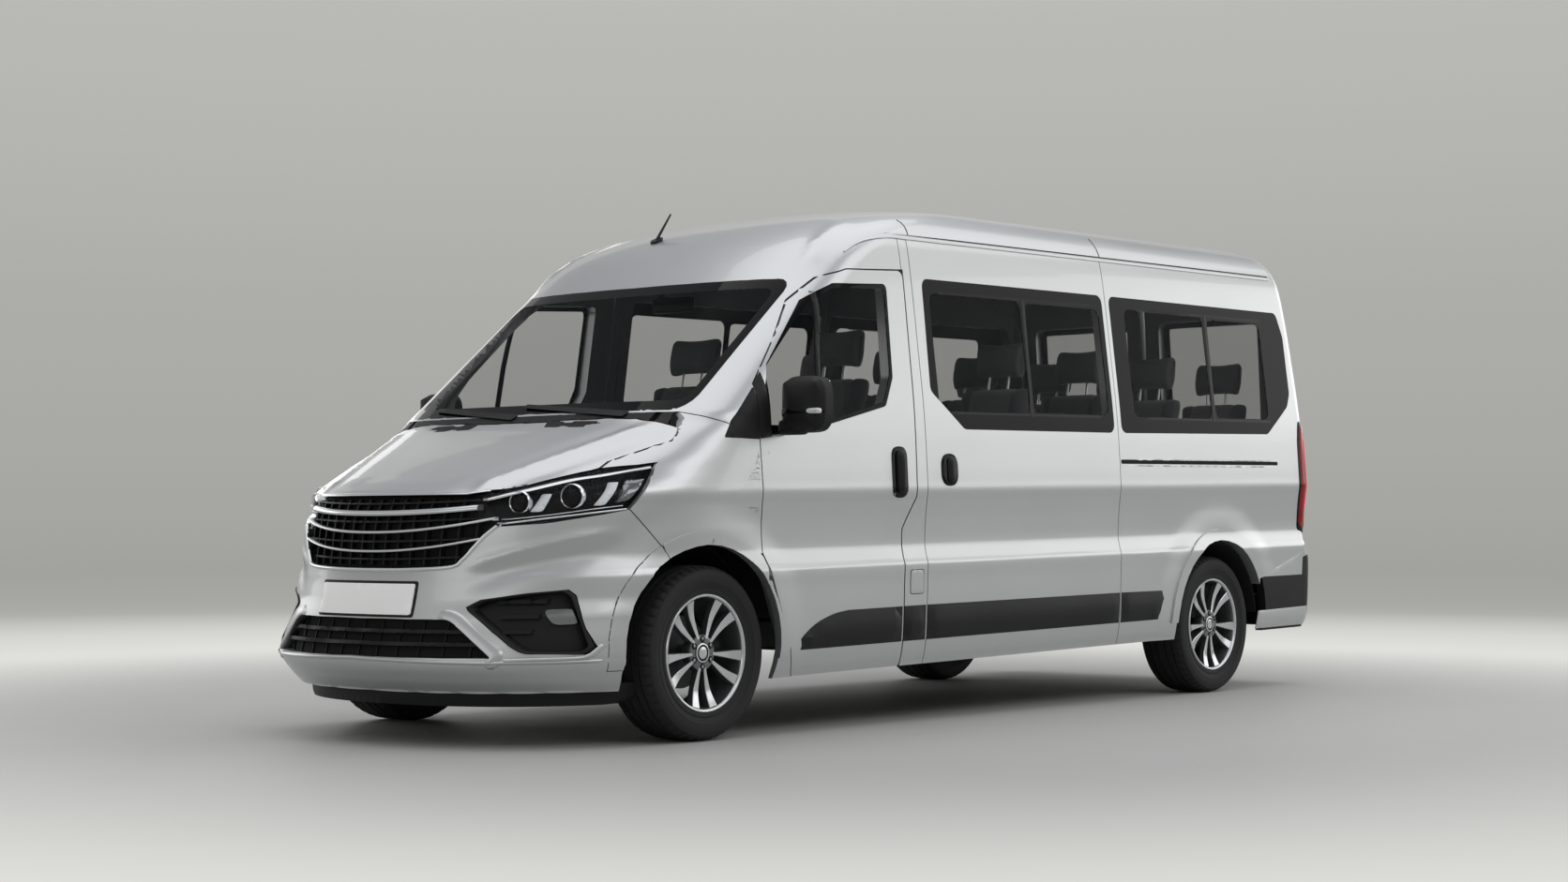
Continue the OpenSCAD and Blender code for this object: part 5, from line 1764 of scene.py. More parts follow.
@dataclass
class Headlamps:
    """Headlamps: dark bowl, projectors, bright strips, white blades and a clear lens."""

    outline: Outline = (
        (2.096, 1.088), (2.243, 0.922), (2.3, 0.906), (2.51, 0.874), (2.612, 0.862), (2.64, 0.9),
        (2.636, 0.948), (2.612, 0.982), (2.45, 1.028), (2.277, 1.07),
    )

    def build(self) -> None:
        """Makes both headlamps."""
        works = [piece for side in Side for piece in self._lamp(side)]
        settled(joined("lamp_works", works), "body", "lamp_clear", "headlamps")

    def _lamp(self, side: Side) -> list[Obj]:
        """Makes one headlamp's lens and works.

        Args:
            side: Side of the van.

        Returns:
            The pieces behind the lens.
        """
        rim = rounded(self.outline, 0.015)
        pieces = [patch(GLOSS_BLACK, f"lamp_bowl_{side.word}", rim, side=side, out=-0.045, depth=0.004,
                        cell=0.015)]
        for path, width, out in (
            ([(2.612, 0.962), (2.53, 0.991), (2.391, 1.029), (2.294, 1.046), (2.203, 1.062), (2.118, 1.077)],
             0.009, -0.008),
            ([(2.596, 0.873), (2.515, 0.887), (2.372, 0.907), (2.25, 0.921)], 0.007, -0.006),
            ([(2.585, 0.888), (2.5, 0.9), (2.372, 0.92), (2.26, 0.934)], 0.004, -0.012),
        ):
            line = strip("strip", curve(path), width, out, 0.003, 0.02, view=View.SIDE, side=side.value)
            pieces.append(coat(line, CHROME))
        for quad, finish in (
            ([(2.511, 0.913), (2.494, 0.917), (2.459, 0.981), (2.47, 0.978)], BLADE_WHITE),
            ([(2.335, 0.934), (2.312, 0.938), (2.246, 1.022), (2.266, 1.02)], BLADE_WHITE),
            ([(2.273, 0.945), (2.23, 0.954), (2.15, 1.034), (2.215, 1.029)], DARK_CHROME),
        ):
            shape = {"out": -0.02, "crown": 0.004, "edge": 0.004, "depth": 0.02, "cell": 0.015}
            pieces.append(patch(finish, "blade", rounded(quad, 0.006), side=side, **shape))
        for x, z, r in ((2.512, 0.95, 0.031), (2.376, 0.97, 0.035)):
            pieces += self._projector(side, x, z, r)
        plate(LENS_CLEAR, f"lamp_lens_{side.word}", rim, side=side, out=-0.001, crown=0.002, edge=0.01,
              depth=0.03, cell=0.02)
        return pieces

    @staticmethod
    def _projector(side: Side, x: float, height: float, r: float) -> list[Obj]:
        """Projector lens of some radius in a bright ring.

        Args:
            side: Side of the van.
            x: Place along the van.
            height: Height before the rake.
            r: Radius of the lens.

        Returns:
            The ring and the lens.
        """
        place = SKIN.seen(np.array([x]), np.array([height]), np.array([-0.05]), View.SIDE, side.value)[0]
        ring = [(r + 0.004, 0.0), (r + 0.012, 0.004), (r + 0.013, 0.03), (r + 0.009, 0.036),
                (r + 0.004, 0.03), (r, 0.012)]
        dome = [(r + 0.003, 0.006), (r + 0.002, 0.016), (r * 0.9, 0.024), (r * 0.66, 0.032),
                (r * 0.33, 0.037), (0.0, 0.0385)]
        pieces = []
        for name, profile, closed, finish in (("ring", ring, True, CHROME),
                                              ("dome", dome, False, GLOSS_BLACK)):
            piece = turned(spun(name, profile, 40, closed), place, (0.94, side.value * 0.3, 0.0))
            soften(piece, 50.0)
            pieces.append(coat(piece, finish))
        return pieces


# Sides and rear


@dataclass
class SideTrim:
    """Mouldings, handles, sliding rail, gutter, seams and corner trims of both sides."""

    top: float = 0.498
    low: float = 0.352

    def build(self) -> None:
        """Makes the trim of both sides."""
        for side in Side:
            self._mouldings(side)
            self._handles(side)
            self._lines(side)
            self._corner(side)
            self._mirror(side)
        self._roof_seams()

    def _mouldings(self, side: Side) -> None:
        """Black rubbing strips, one for each panel.

        Args:
            side: Side of the van.
        """
        low, top = self.low, self.top
        front = curve([(1.408, low), (1.36, 0.395), (1.27, 0.45), (1.16, 0.485), (1.06, top)], 5)
        for name, body, outline in (
            ("front", f"door_front_{side.word}", [(0.702, low)] + front + [(0.702, top)]),
            ("post", "body", oblong(0.54, low, 0.69, top)),
            ("slide", "body", [(-0.962, low), (0.526, low), (0.526, top), (-0.962, top - 0.006)]),
            ("rear", "body", [(-1.305, low), (-0.98, low), (-0.98, top - 0.006), (-1.372, top - 0.01)]),
        ):
            plate(BLACK_PLASTIC, f"moulding_{name}_{side.word}", outline, body, side=side, out=0.002,
                  crown=0.011, edge=0.022, cell=0.06)

    @staticmethod
    def _handles(side: Side) -> None:
        """Door handles in their black pockets, and the filler flap.

        Args:
            side: Side of the van.
        """
        word = side.word
        door = f"door_front_{word}"
        plate(GLOSS_BLACK, f"door_pocket_{word}", oblong(0.668, 0.948, 0.772, 1.162, 0.045), door, side=side,
              out=0.002, crown=0.002, edge=0.006, cell=0.03)
        plate(BLACK_PLASTIC, f"door_grip_{word}", oblong(0.694, 0.966, 0.748, 1.146, 0.026), door, side=side,
              out=0.012, crown=0.016, edge=0.024, depth=0.014, cell=0.015)
        plate(DARK_CHROME, f"door_lock_{word}", oblong(0.755, 0.957, 0.766, 0.969, 0.006), door, side=side,
              out=0.004, crown=0.002, edge=0.002, depth=0.006, cell=0.01)
        plate(GLOSS_BLACK, f"slide_pocket_{word}", oblong(0.312, 0.996, 0.43, 1.134, 0.058, 8), side=side,
              out=0.002, crown=0.004, edge=0.012, cell=0.02)
        plate(BLACK_PLASTIC, f"slide_grip_{word}", oblong(0.348, 1.01, 0.394, 1.12, 0.022), side=side,
              out=0.01, crown=0.012, edge=0.018, cell=0.015)
        flap = rounded([(0.556, 0.545), (0.65, 0.545), (0.652, 0.648), (0.558, 0.648)], 0.012)
        plate(SHADOW_BLACK, f"flap_seam_{word}", flap, side=side, out=0.0006, depth=0.004)
        cover = rounded([(0.559, 0.548), (0.647, 0.548), (0.649, 0.645), (0.561, 0.645)], 0.01)
        plate(PAINT, f"flap_{word}", cover, side=side, out=0.0012, crown=0.0012, edge=0.006, depth=0.004)

    @staticmethod
    def _lines(side: Side) -> None:
        """Sliding rail and gutter; black strips of painted shade stand for the rail's slot and the shade
        under the gutter's lip.
        """
        word = side.word
        # The slot is a black strip of painted shade on the skin.
        slot = rounded([(-2.455, 1.086), (-0.982, 1.092), (-0.982, 1.112), (-2.455, 1.104)], 0.008)
        plate(SHADOW_BLACK, f"rail_slot_{word}", slot, side=side, out=0.0012, depth=0.006, cell=0.08)
        for name, z in (("low", 1.0835), ("high", 1.1125)):
            lip = band([(x, z + (x + 0.982) * 0.004) for x in np.linspace(-2.46, -0.978, 21)], 0.007)
            plate(PAINT, f"rail_lip_{name}_{word}", lip, side=side, out=0.0005, crown=0.0035, edge=0.003,
                  depth=0.006, cell=0.08)
        where = {"view": View.SIDE, "side": side.value}
        shade = [(x, 2.066) for x in np.linspace(-2.57, 0.66, 41)]
        widths = 0.006 * np.clip((0.66 - np.array(shade)[:, 0]) / 0.5, 0.12, 1)
        dressed(strip(f"gutter_shade_{word}", shade, widths, 0.0, 0.0012, 0.005, **where), SHADOW_BLACK)
        swept = curve([(0.5, 2.054), (0.652, 2.051), (0.769, 2.034), (0.856, 2.008), (0.935, 1.97)], 5)
        lip = [(x, 2.054) for x in np.linspace(-2.57, 0.42, 36)] + swept
        widths = 0.02 * np.clip((0.95 - np.array(lip)[:, 0]) / 0.4, 0.15, 1)
        dressed(strip(f"gutter_lip_{word}", lip, widths, 0.0, 0.007, 0.006, **where), PAINT)

    @staticmethod
    def _roof_seams() -> None:
        """Two seams across the roof, from gutter to gutter."""
        shape = (0.005, 0.0006, 0.001, 0.006)
        for name, x in (("front", 0.503), ("rear", -0.985)):
            pieces = [strip("over", [(x, y) for y in np.linspace(-0.8, 0.8, 65)], *shape, view=View.TOP)]
            down = [(x, z) for z in np.linspace(2.068, 2.135, 9)]
            pieces += [strip("down", down, *shape, view=View.SIDE, side=side.value) for side in Side]
            dressed(joined(f"roof_seam_{name}", pieces), SHADOW_BLACK)

    @staticmethod
    def _corner(side: Side) -> None:
        """Black corner trims at the foot of the front pillar.

        Args:
            side: Side of the van.
        """
        shape = {"side": side, "out": 0.001, "crown": 0.003, "edge": 0.006}
        inner = rounded([(1.53, 1.196), (1.5995, 1.186), (1.5995, 1.4), (1.546, 1.452)], 0.006)
        plate(BLACK_PLASTIC, f"corner_trim_door_{side.word}", inner, f"door_front_{side.word}", **shape)
        outer = rounded([(1.6015, 1.184), (1.792, 1.19), (1.745, 1.256), (1.6015, 1.392)], 0.01)
        plate(BLACK_PLASTIC, f"corner_trim_{side.word}", outer, **shape)

    def _mirror(self, side: Side) -> None:
        """Door mirror: rounded shell on a stepped arm, glass, and a clear repeater.

        Args:
            side: Side of the van.
        """
        word, s = side.word, side.value
        door = f"door_front_{word}"
        low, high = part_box(f"mirror_{word}")
        y_in, y_out = sorted((abs(low[1]), abs(high[1])))
        base = high[2] - 0.225
        front = high[0]

        def slab(name: str, x: tuple[float, float], y: tuple[float, float], z: tuple[float, float],
                 bevel: float) -> Obj:
            """Block between places behind the front, out from the middle, and up.

            Args:
                name: Name of the piece.
                x: Distances behind the front.
                y: Distances from the middle.
                z: Heights.
                bevel: Width of the rounding.

            Returns:
                The block.
            """
            ys = sorted((s * y[0], s * y[1]))
            return block(name, (front - x[0], ys[0], z[0]), (front - x[1], ys[1], z[1]), bevel)

        shell = self._shell(f"mirror_shell_{word}", (front - 0.102, front), (y_out - 0.212, y_out),
                            (base + 0.004, high[2]), s)
        arm = slab("arm", (0.085, 0.02), (y_in + 0.002, y_out - 0.1), (base - 0.005, base + 0.055), 0.018)
        belt = self._shell("belt", (front - 0.1015, front + 0.001), (y_out - 0.214, y_out - 0.0005),
                           (base + 0.062, base + 0.108), s)
        pieces = [coat(shell, BLACK_PLASTIC), coat(arm, BLACK_PLASTIC), coat(belt, GLOSS_BLACK)]
        settled(joined(f"mirror_shell_{word}", pieces), door, "black_plastic", f"mirror_{word}")
        glass = slab(f"mirror_glass_{word}", (0.1035, 0.098), (y_out - 0.176, y_out - 0.016),
                     (base + 0.022, high[2] - 0.018), 0.002)
        dressed(glass, MIRROR_GLASS, door)
        lamp = slab(f"mirror_repeater_{word}", (0.035, 0.004), (y_out - 0.085, y_out + 0.0005),
                    (base + 0.074, base + 0.096), 0.008)
        dressed(lamp, LENS_WHITE, door, slot="lamp_clear")

    @staticmethod
    def _shell(name: str, along: Sequence[float], across: Sequence[float], up: Sequence[float],
               s: float) -> Obj:
        """Rounded mirror shell, blunt to the front.

        Args:
            name: Name of the piece.
            along: Rear face and foremost point.
            across: Inner and outer edge.
            up: Bottom and top.
            s: Sign of the side.

        Returns:
            The shell.
        """
        bpy.ops.object.select_all(action="DESELECT")
        bpy.ops.mesh.primitive_cube_add(size=2.0)
        made = bpy.context.object
        made.name = name
        bpy.ops.object.mode_set(mode="EDIT")
        bpy.ops.mesh.select_all(action="SELECT")
        bpy.ops.mesh.subdivide(number_cuts=11)
        bpy.ops.object.mode_set(mode="OBJECT")
        x, y, z = mesh_points(made.data).T
        power = 3.6
        size = (np.abs(y) ** power + np.abs(z) ** power) ** (1 / power)
        scale = np.where(size > 1e-6, np.maximum(np.abs(y), np.abs(z)) / np.maximum(size, 1e-6), 1.0)
        y, z = y * scale, z * scale
        far = np.maximum(np.abs(y), np.abs(z))
        depth = np.where(x > 0, x * (1 - 0.62 * np.clip(far, 0, 1) ** 3), x)
        taper = 1 - 0.1 * np.clip(x, 0, 1)
        spans = ((depth, along), (y * taper, across), (z * taper, up))
        points = np.column_stack([(low + high) / 2 + part * (high - low) / 2 for part, (low, high) in spans])
        points[:, 1] *= s
        made.data.vertices.foreach_set("co", points.ravel())
        if s < 0:
            made.data.flip_normals()
        made.data.update()
        soften(made, 50.0)
        return made


@dataclass
class TailTrim:
    """Tail lamps, rear door trim, blank plate and reflectors."""

    door: str = "door_rear_left"

    def build(self) -> None:
        """Makes every piece of the rear."""
        lamps = SkinPanel("tail_lamps", "body", (0.03, 0.03, 0.02), reach=0.02)
        lamps.build(LENS_RED.material(), SHADOW_BLACK.material(), "lamp_red")
        for side in Side:
            self._lamp(side)
            self._bumper(side)
        foot = [(-0.84, 0.262), (0.84, 0.262), (0.885, 0.272), (0.903, 0.358), (-0.903, 0.358),
                (-0.885, 0.272)]
        plate(PAINT, "rear_bumper_foot", foot, out=0.001, crown=0.005, edge=0.012, cell=0.05, **REAR)
        plate(BLACK_PLASTIC, "rear_handle", oblong(0.045, 1.0, 0.085, 1.2, 0.018), self.door, out=0.004,
              crown=0.014, edge=0.016, cell=0.015, **REAR)
        plate(BLACK_PLASTIC, "rear_plate_holder", oblong(0.115, 0.8, 0.655, 0.955, 0.014), self.door,
              out=0.001, crown=0.004, edge=0.006, **REAR)
        plate(PAINTED_GLOW_PLATE_WHITE, "rear_blank_plate", oblong(0.127, 0.812, 0.643, 0.925, 0.01), self.door,
              out=0.0085, crown=0.002, edge=0.004, **REAR)
        plate(LENS_RED, "high_brake_lamp", oblong(-0.16, 2.052, 0.16, 2.078, 0.008), out=0.003, crown=0.005,
              edge=0.006, **REAR)

    @staticmethod
    def _lamp(side: Side) -> None:
        """Fields, side lens, rim and lit strips of one tail lamp.

        Args:
            side: Side of the van.
        """
        s, word = side.value, side.word
        for name, z0, z1, finish in (("amber", 0.925, 0.995, LENS_AMBER),
                                     ("white", 0.845, 0.915, LENS_WHITE)):
            plate(finish, f"tail_{name}_{word}", oblong(s * 0.846, z0, s * 0.9, z1, 0.006), out=0.0008,
                  crown=0.0012, edge=0.003, depth=0.004, cell=0.012, **REAR)
        wrap = rounded([(-2.682, 0.775), (-2.792, 0.745), (-2.784, 1.285), (-2.7, 1.302), (-2.684, 1.2)],
                       0.02)
        plate(LENS_RED, f"tail_wrap_{word}", wrap, side=side, out=0.002, crown=0.007, edge=0.016, depth=0.01,
              cell=0.02)
        lit = curve([(-2.742, 0.86), (-2.752, 0.95), (-2.755, 1.05), (-2.75, 1.14), (-2.738, 1.225)])
        dressed(strip(f"tail_strip_{word}", lit, 0.034, 0.0075, 0.003, 0.004, view=View.SIDE, side=s),
                LAMP_STRIP)
        lit = [(s * 0.873, z) for z in np.linspace(1.025, 1.235, 12)]
        dressed(strip(f"tail_strip_rear_{word}", lit, 0.03, 0.0006, 0.003, 0.004, **REAR), LAMP_STRIP)
        rim = rounded([(-2.672, 0.755), (-2.788, 0.728), (-2.78, 1.3), (-2.694, 1.318), (-2.673, 1.21)], 0.02)
        plate(GLOSS_BLACK, f"tail_rim_{word}", rim, side=side, out=0.0012, crown=0.003, edge=0.01, depth=0.01,
              cell=0.02)

    @staticmethod
    def _bumper(side: Side) -> None:
        """Painted foot and cheek of the rear bumper's corner, and its reflector.

        Args:
            side: Side of the van.
        """
        s, word = side.value, side.word
        foot = [(-2.262, 0.262), (-2.262, 0.352), (-2.837, 0.358), (-2.824, 0.272), (-2.8, 0.262)]
        plate(PAINT, f"rear_bumper_foot_{word}", foot, side=side, out=0.001, crown=0.005, edge=0.012,
              depth=0.003, cell=0.03)
        over = [(-2.285, 0.523), (-2.698, 0.522), (-2.706, 0.64), (-2.66, 0.628)]
        plate(PAINT, f"rear_bumper_cheek_{word}", over, side=side, out=0.0012, crown=0.001, edge=0.006,
              depth=0.008)
        # The reflector shares the red lens's glow, which is painted light on a part that is no lamp.
        plate(LENS_RED, f"rear_reflector_{word}", oblong(s * 0.62, 0.437, s * 0.8, 0.467, 0.01), out=0.001,
              crown=0.003, edge=0.004, depth=0.006, **REAR)


# Wheels


@dataclass
class Wheels:
    """Four wheels: tyre with tread, and an alloy rim with five pairs of spokes."""

    steps: int = 216
    axle_x: float = 1.875
    track_y: float = 0.807
    axle_z: float = 0.335

    def build(self) -> None:
        """Models one tyre and one rim, and copies them to the four corners."""
        tyre = self._tyre()
        rim = self._rim()
        for word, x, s in (("fl", 1, 1), ("fr", 1, -1), ("rl", -1, 1), ("rr", -1, -1)):
            place = Matrix.Translation((x * self.axle_x, s * self.track_y, self.axle_z))
            turn = Matrix.Rotation(-s * math.pi / 2, 4, "X")
            for kind, form, slot in (("tyre", tyre, "tyre_rubber"), ("rim", rim, "rim_alloy")):
                mesh = form.data.copy()
                mesh.transform(place @ turn)
                mesh.name = f"{kind}_{word}_form"
                settled(new_object(f"{kind}_{word}_form", mesh), f"wheel_{word}", slot, f"{kind}_{word}")
        for form in (tyre, rim):
            bpy.data.objects.remove(form)

    def _tyre(self) -> Obj:
        """Tyre round Z, with grooves and shoulder blocks.

        Returns:
            The tyre.
        """
        half = [(0.2195, 0.097), (0.2275, 0.104), (0.236, 0.1075), (0.2435, 0.1075), (0.2455, 0.1055),
                (0.252, 0.108),
                (0.268, 0.1135), (0.2685, 0.1148), (0.272, 0.1155), (0.2725, 0.1145), (0.288, 0.1162),
                (0.302, 0.1155),
                (0.3145, 0.1115), (0.315, 0.1122), (0.3175, 0.1112), (0.318, 0.1098), (0.3245, 0.1035),
                (0.3295, 0.0945)]
        tread = [(0.332, 0.0865), (0.333, 0.076), (0.3334, 0.066), (0.3258, 0.0645), (0.3258, 0.0585),
                 (0.3338, 0.057),
                 (0.3342, 0.042), (0.3345, 0.0275), (0.3265, 0.026), (0.3265, 0.02), (0.3347, 0.0185),
                 (0.335, 0.0)]
        profile = half + tread + [(r, -h) for r, h in reversed(half + tread[:-1])]
        made = spun("tyre", profile, self.steps)
        points = mesh_points(made.data)
        radius = np.hypot(points[:, 0], points[:, 1])
        turn = np.rint(np.arctan2(points[:, 1], points[:, 0]) / (2 * math.pi) * self.steps).astype(int)
        wide = np.abs(points[:, 2])
        shoulder = (wide > 0.07) & (wide < 0.1065) & (radius > 0.321)
        centre = (wide < 0.05) & (wide > 0.03) & (radius > 0.33)
        lower = np.where(shoulder & (turn % 4 == 0), 0.0065, 0.0) + np.where(centre & (turn % 4 == 2), 0.004,
                                                                             0.0)
        points[:, :2] *= ((radius - lower) / radius)[:, None]
        made.data.vertices.foreach_set("co", points.ravel())
        made.data.update()
        soften(made, 28.0)
        return coat(made, TYRE)

    def _rim(self) -> Obj:
        """Rim round Z, its outer face up.

        Returns:
            The rim.
        """
        barrel = spun("rim", [
            (0.2262, 0.1035), (0.224, 0.107), (0.219, 0.1075), (0.215, 0.105), (0.212, 0.0985),
            (0.209, 0.086),
            (0.205, 0.06), (0.199, 0.0), (0.199, -0.06), (0.206, -0.09), (0.213, -0.1), (0.219, -0.1065),
            (0.2262, -0.1035), (0.2245, -0.098), (0.216, -0.09), (0.211, -0.06), (0.208, 0.0), (0.211, 0.06),
            (0.218, 0.092), (0.224, 0.0985),
        ], 96)
        barrel.data.materials.append(ALLOY.material())
        barrel.data.materials.append(WHEEL_GREY.material())
        for face in barrel.data.polygons:
            face.material_index = 0 if face.center.z > 0.099 else 1
        soften(barrel, 40.0)
        hub = spun("hub", [(0.0, 0.04), (0.069, 0.04), (0.071, 0.05), (0.071, 0.078), (0.068, 0.0835),
                           (0.062, 0.085), (0.041, 0.085), (0.0385, 0.08), (0.0, 0.08)], 60, closed=False)
        soften(hub, 35.0)
        pieces = [barrel, coat(hub, WHEEL_GREY)]
        ring = [(0.0372, 0.079), (0.0372, 0.0875), (0.0345, 0.0893), (0.0315, 0.089), (0.0305, 0.0868),
                (0.0305, 0.079)]
        dark = [(0.0305, 0.079), (0.0305, 0.0872), (0.029, 0.0882), (0.0235, 0.0884), (0.023, 0.0878),
                (0.023, 0.079)]
        cap = [(0.023, 0.079), (0.023, 0.088), (0.018, 0.089), (0.009, 0.0896), (0.0, 0.0898)]
        for name, profile, finish in (("cap_ring", ring, CHROME), ("cap_dark", dark, GLOSS_BLACK),
                                      ("cap", cap, ALLOY)):
            made = spun(name, profile, 48, closed=name != "cap")
            soften(made, 40.0)
            pieces.append(coat(made, finish))
        for k in range(6):
            pieces += self._nut(math.radians(60 * k + 30))
        for k in range(5):
            for lean in (-13.5, 13.5):
                pieces.append(self._spoke(math.radians(90 + 72 * k + lean)))
        return joined("rim", pieces)

    @staticmethod
    def _nut(turn: float) -> list[Obj]:
        """Wheel nut in its dark seat.

        Args:
            turn: Its direction from the hub.

        Returns:
            The pieces, not yet joined.
        """
        place = (0.0535 * math.cos(turn), 0.0535 * math.sin(turn), 0.0)
        dish = [(0.0, 0.0854), (0.0095, 0.0854), (0.0118, 0.0868), (0.0128, 0.0866), (0.0134, 0.0845)]
        head = [(0.0, 0.0895), (0.0052, 0.0895), (0.0074, 0.0882), (0.0076, 0.085)]
        seat, nut = spun("seat", dish, 24, closed=False), spun("nut", head, 6, closed=False)
        for piece, finish in ((seat, SHADOW_BLACK), (nut, DARK_CHROME)):
            piece.data.transform(Matrix.Translation(place))
            coat(piece, finish)
        return [seat, nut]

    @staticmethod
    def _spoke(turn: float) -> Obj:
        """One tapered spoke: bright face, grey flanks.

        Args:
            turn: Direction of the spoke.

        Returns:
            The spoke.
        """
        rows = 12
        c, s = math.cos(turn), math.sin(turn)
        points: list[Triple] = []
        for i in range(rows):
            t = i / (rows - 1)
            far = 0.058 + (0.2105 - 0.058) * t
            half = 0.0072 + 0.0145 * t**1.25
            top = 0.0865 - 0.0035 * math.sin(math.pi * t) + 0.0125 * max(0.0, t - 0.55) ** 1.5 / 0.45**1.5
            low = 0.05 + 0.016 * t
            soft = min(0.003, half * 0.4)
            flank = [(half * 1.1, low), (half, top - 0.009), (half - soft * 0.3, top - soft * 0.7),
                     (half - soft, top)]
            for across, up in mirrored(flank, -1) + flank[::-1]:
                x, y = far * c - across * s, far * s + across * c
                points.append((x, y, up))
        made = from_faces("spoke", points, tube_faces(rows, 8), 35.0)
        mesh = made.data
        mesh.materials.append(ALLOY.material())
        mesh.materials.append(WHEEL_GREY.material())
        for face in mesh.polygons:
            face.material_index = 0 if face.normal.z > 0.55 else 1
        return made


# Cabin


@dataclass
class PadForm:
    """Sewn pad: a side profile of some width, swollen by a cloth simulation.

    Attributes:
        name: Name of the form.
        profile: Side outline, along and up.
        half: Half of its width.
        voxel: Cell size of its mesh.
        swell: Most that a point may move.
        seams: Places across the pad of its sewn seams, as a part of its half width.
    """

    name: str
    profile: Outline
    half: float
    voxel: float = 0.023
    swell: float = 0.016
    seams: tuple[float, ...] = (0.6,)

    def make(self) -> bpy.types.Mesh:
        """The pad's mesh, in the seat's own frame.

        Returns:
            The mesh.
        """
        form = bmesh.new()
        base = form.faces.new([form.verts.new((x, -self.half, z)) for x, z in self.profile])
        pulled = bmesh.ops.extrude_face_region(form, geom=[base])["geom"]
        for part in pulled:
            if isinstance(part, bmesh.types.BMVert):
                part.co.y = self.half
        bmesh.ops.recalc_face_normals(form, faces=form.faces[:])
        mesh = bpy.data.meshes.new(self.name)
        form.to_mesh(mesh)
        form.free()
        pad = new_object(self.name, mesh)
        round_edges(pad, 0.022, 3)
        remesh = pad.modifiers.new("cells", "REMESH")
        remesh.mode = "VOXEL"
        remesh.voxel_size = self.voxel
        smooth = pad.modifiers.new("ease", "SMOOTH")
        smooth.iterations = 4
        apply_modifiers(pad)
        self._swell(pad)
        finer = pad.modifiers.new("finer", "SUBSURF")
        finer.levels = finer.render_levels = 1
        apply_modifiers(pad)
        self._sew(pad.data)
        made = pad.data.copy()
        bpy.data.objects.remove(pad)
        return made

    def _swell(self, pad: Obj) -> None:
        """Blows the pad up from inside, and caps how far each point goes.

        Args:
            pad: The pad.
        """
        scene = bpy.context.scene
        before = mesh_points(pad.data)
        cloth = pad.modifiers.new("swell", "CLOTH")
        cloth.settings.use_pressure = True
        cloth.settings.uniform_pressure_force = 4.0
        cloth.settings.effector_weights.gravity = 0.0
        cloth.settings.quality = 4
        for frame in range(1, 21):
            scene.frame_set(frame)
        shown = pad.evaluated_get(bpy.context.evaluated_depsgraph_get())
        move = mesh_points(shown.data) - before
        pad.modifiers.remove(cloth)
        scene.frame_set(1)
        far = np.linalg.norm(move, axis=1)
        scale = np.minimum(1.0, self.swell / np.maximum(far, 1e-9))
        pad.data.vertices.foreach_set("co", (before + move * scale[:, None]).ravel())
        pad.data.update()

    def _sew(self, mesh: bpy.types.Mesh) -> None:
        """Draws the sewn seams in, and shades the pad smooth.

        Args:
            mesh: The pad's mesh.
        """
        points = mesh_points(mesh)
        normals = np.array([v.normal for v in mesh.vertices])
        depth = np.zeros(len(points))
        for place in self.seams:
            away = np.abs(points[:, 1]) - place * self.half
            depth += 0.007 * np.exp(-((away / 0.009) ** 2))
        mesh.vertices.foreach_set("co", (points - normals * depth[:, None]).ravel())
        mesh.polygons.foreach_set("use_smooth", np.ones(len(mesh.polygons), bool))
        mesh.materials.append(CLOTH.material())
        mesh.materials.append(CLOTH_SIDE.material())
        edge = max(self.seams) * self.half
        index = [1 if abs(face.center.y) > edge else 0 for face in mesh.polygons]
        mesh.polygons.foreach_set("material_index", index)
        mesh.update()


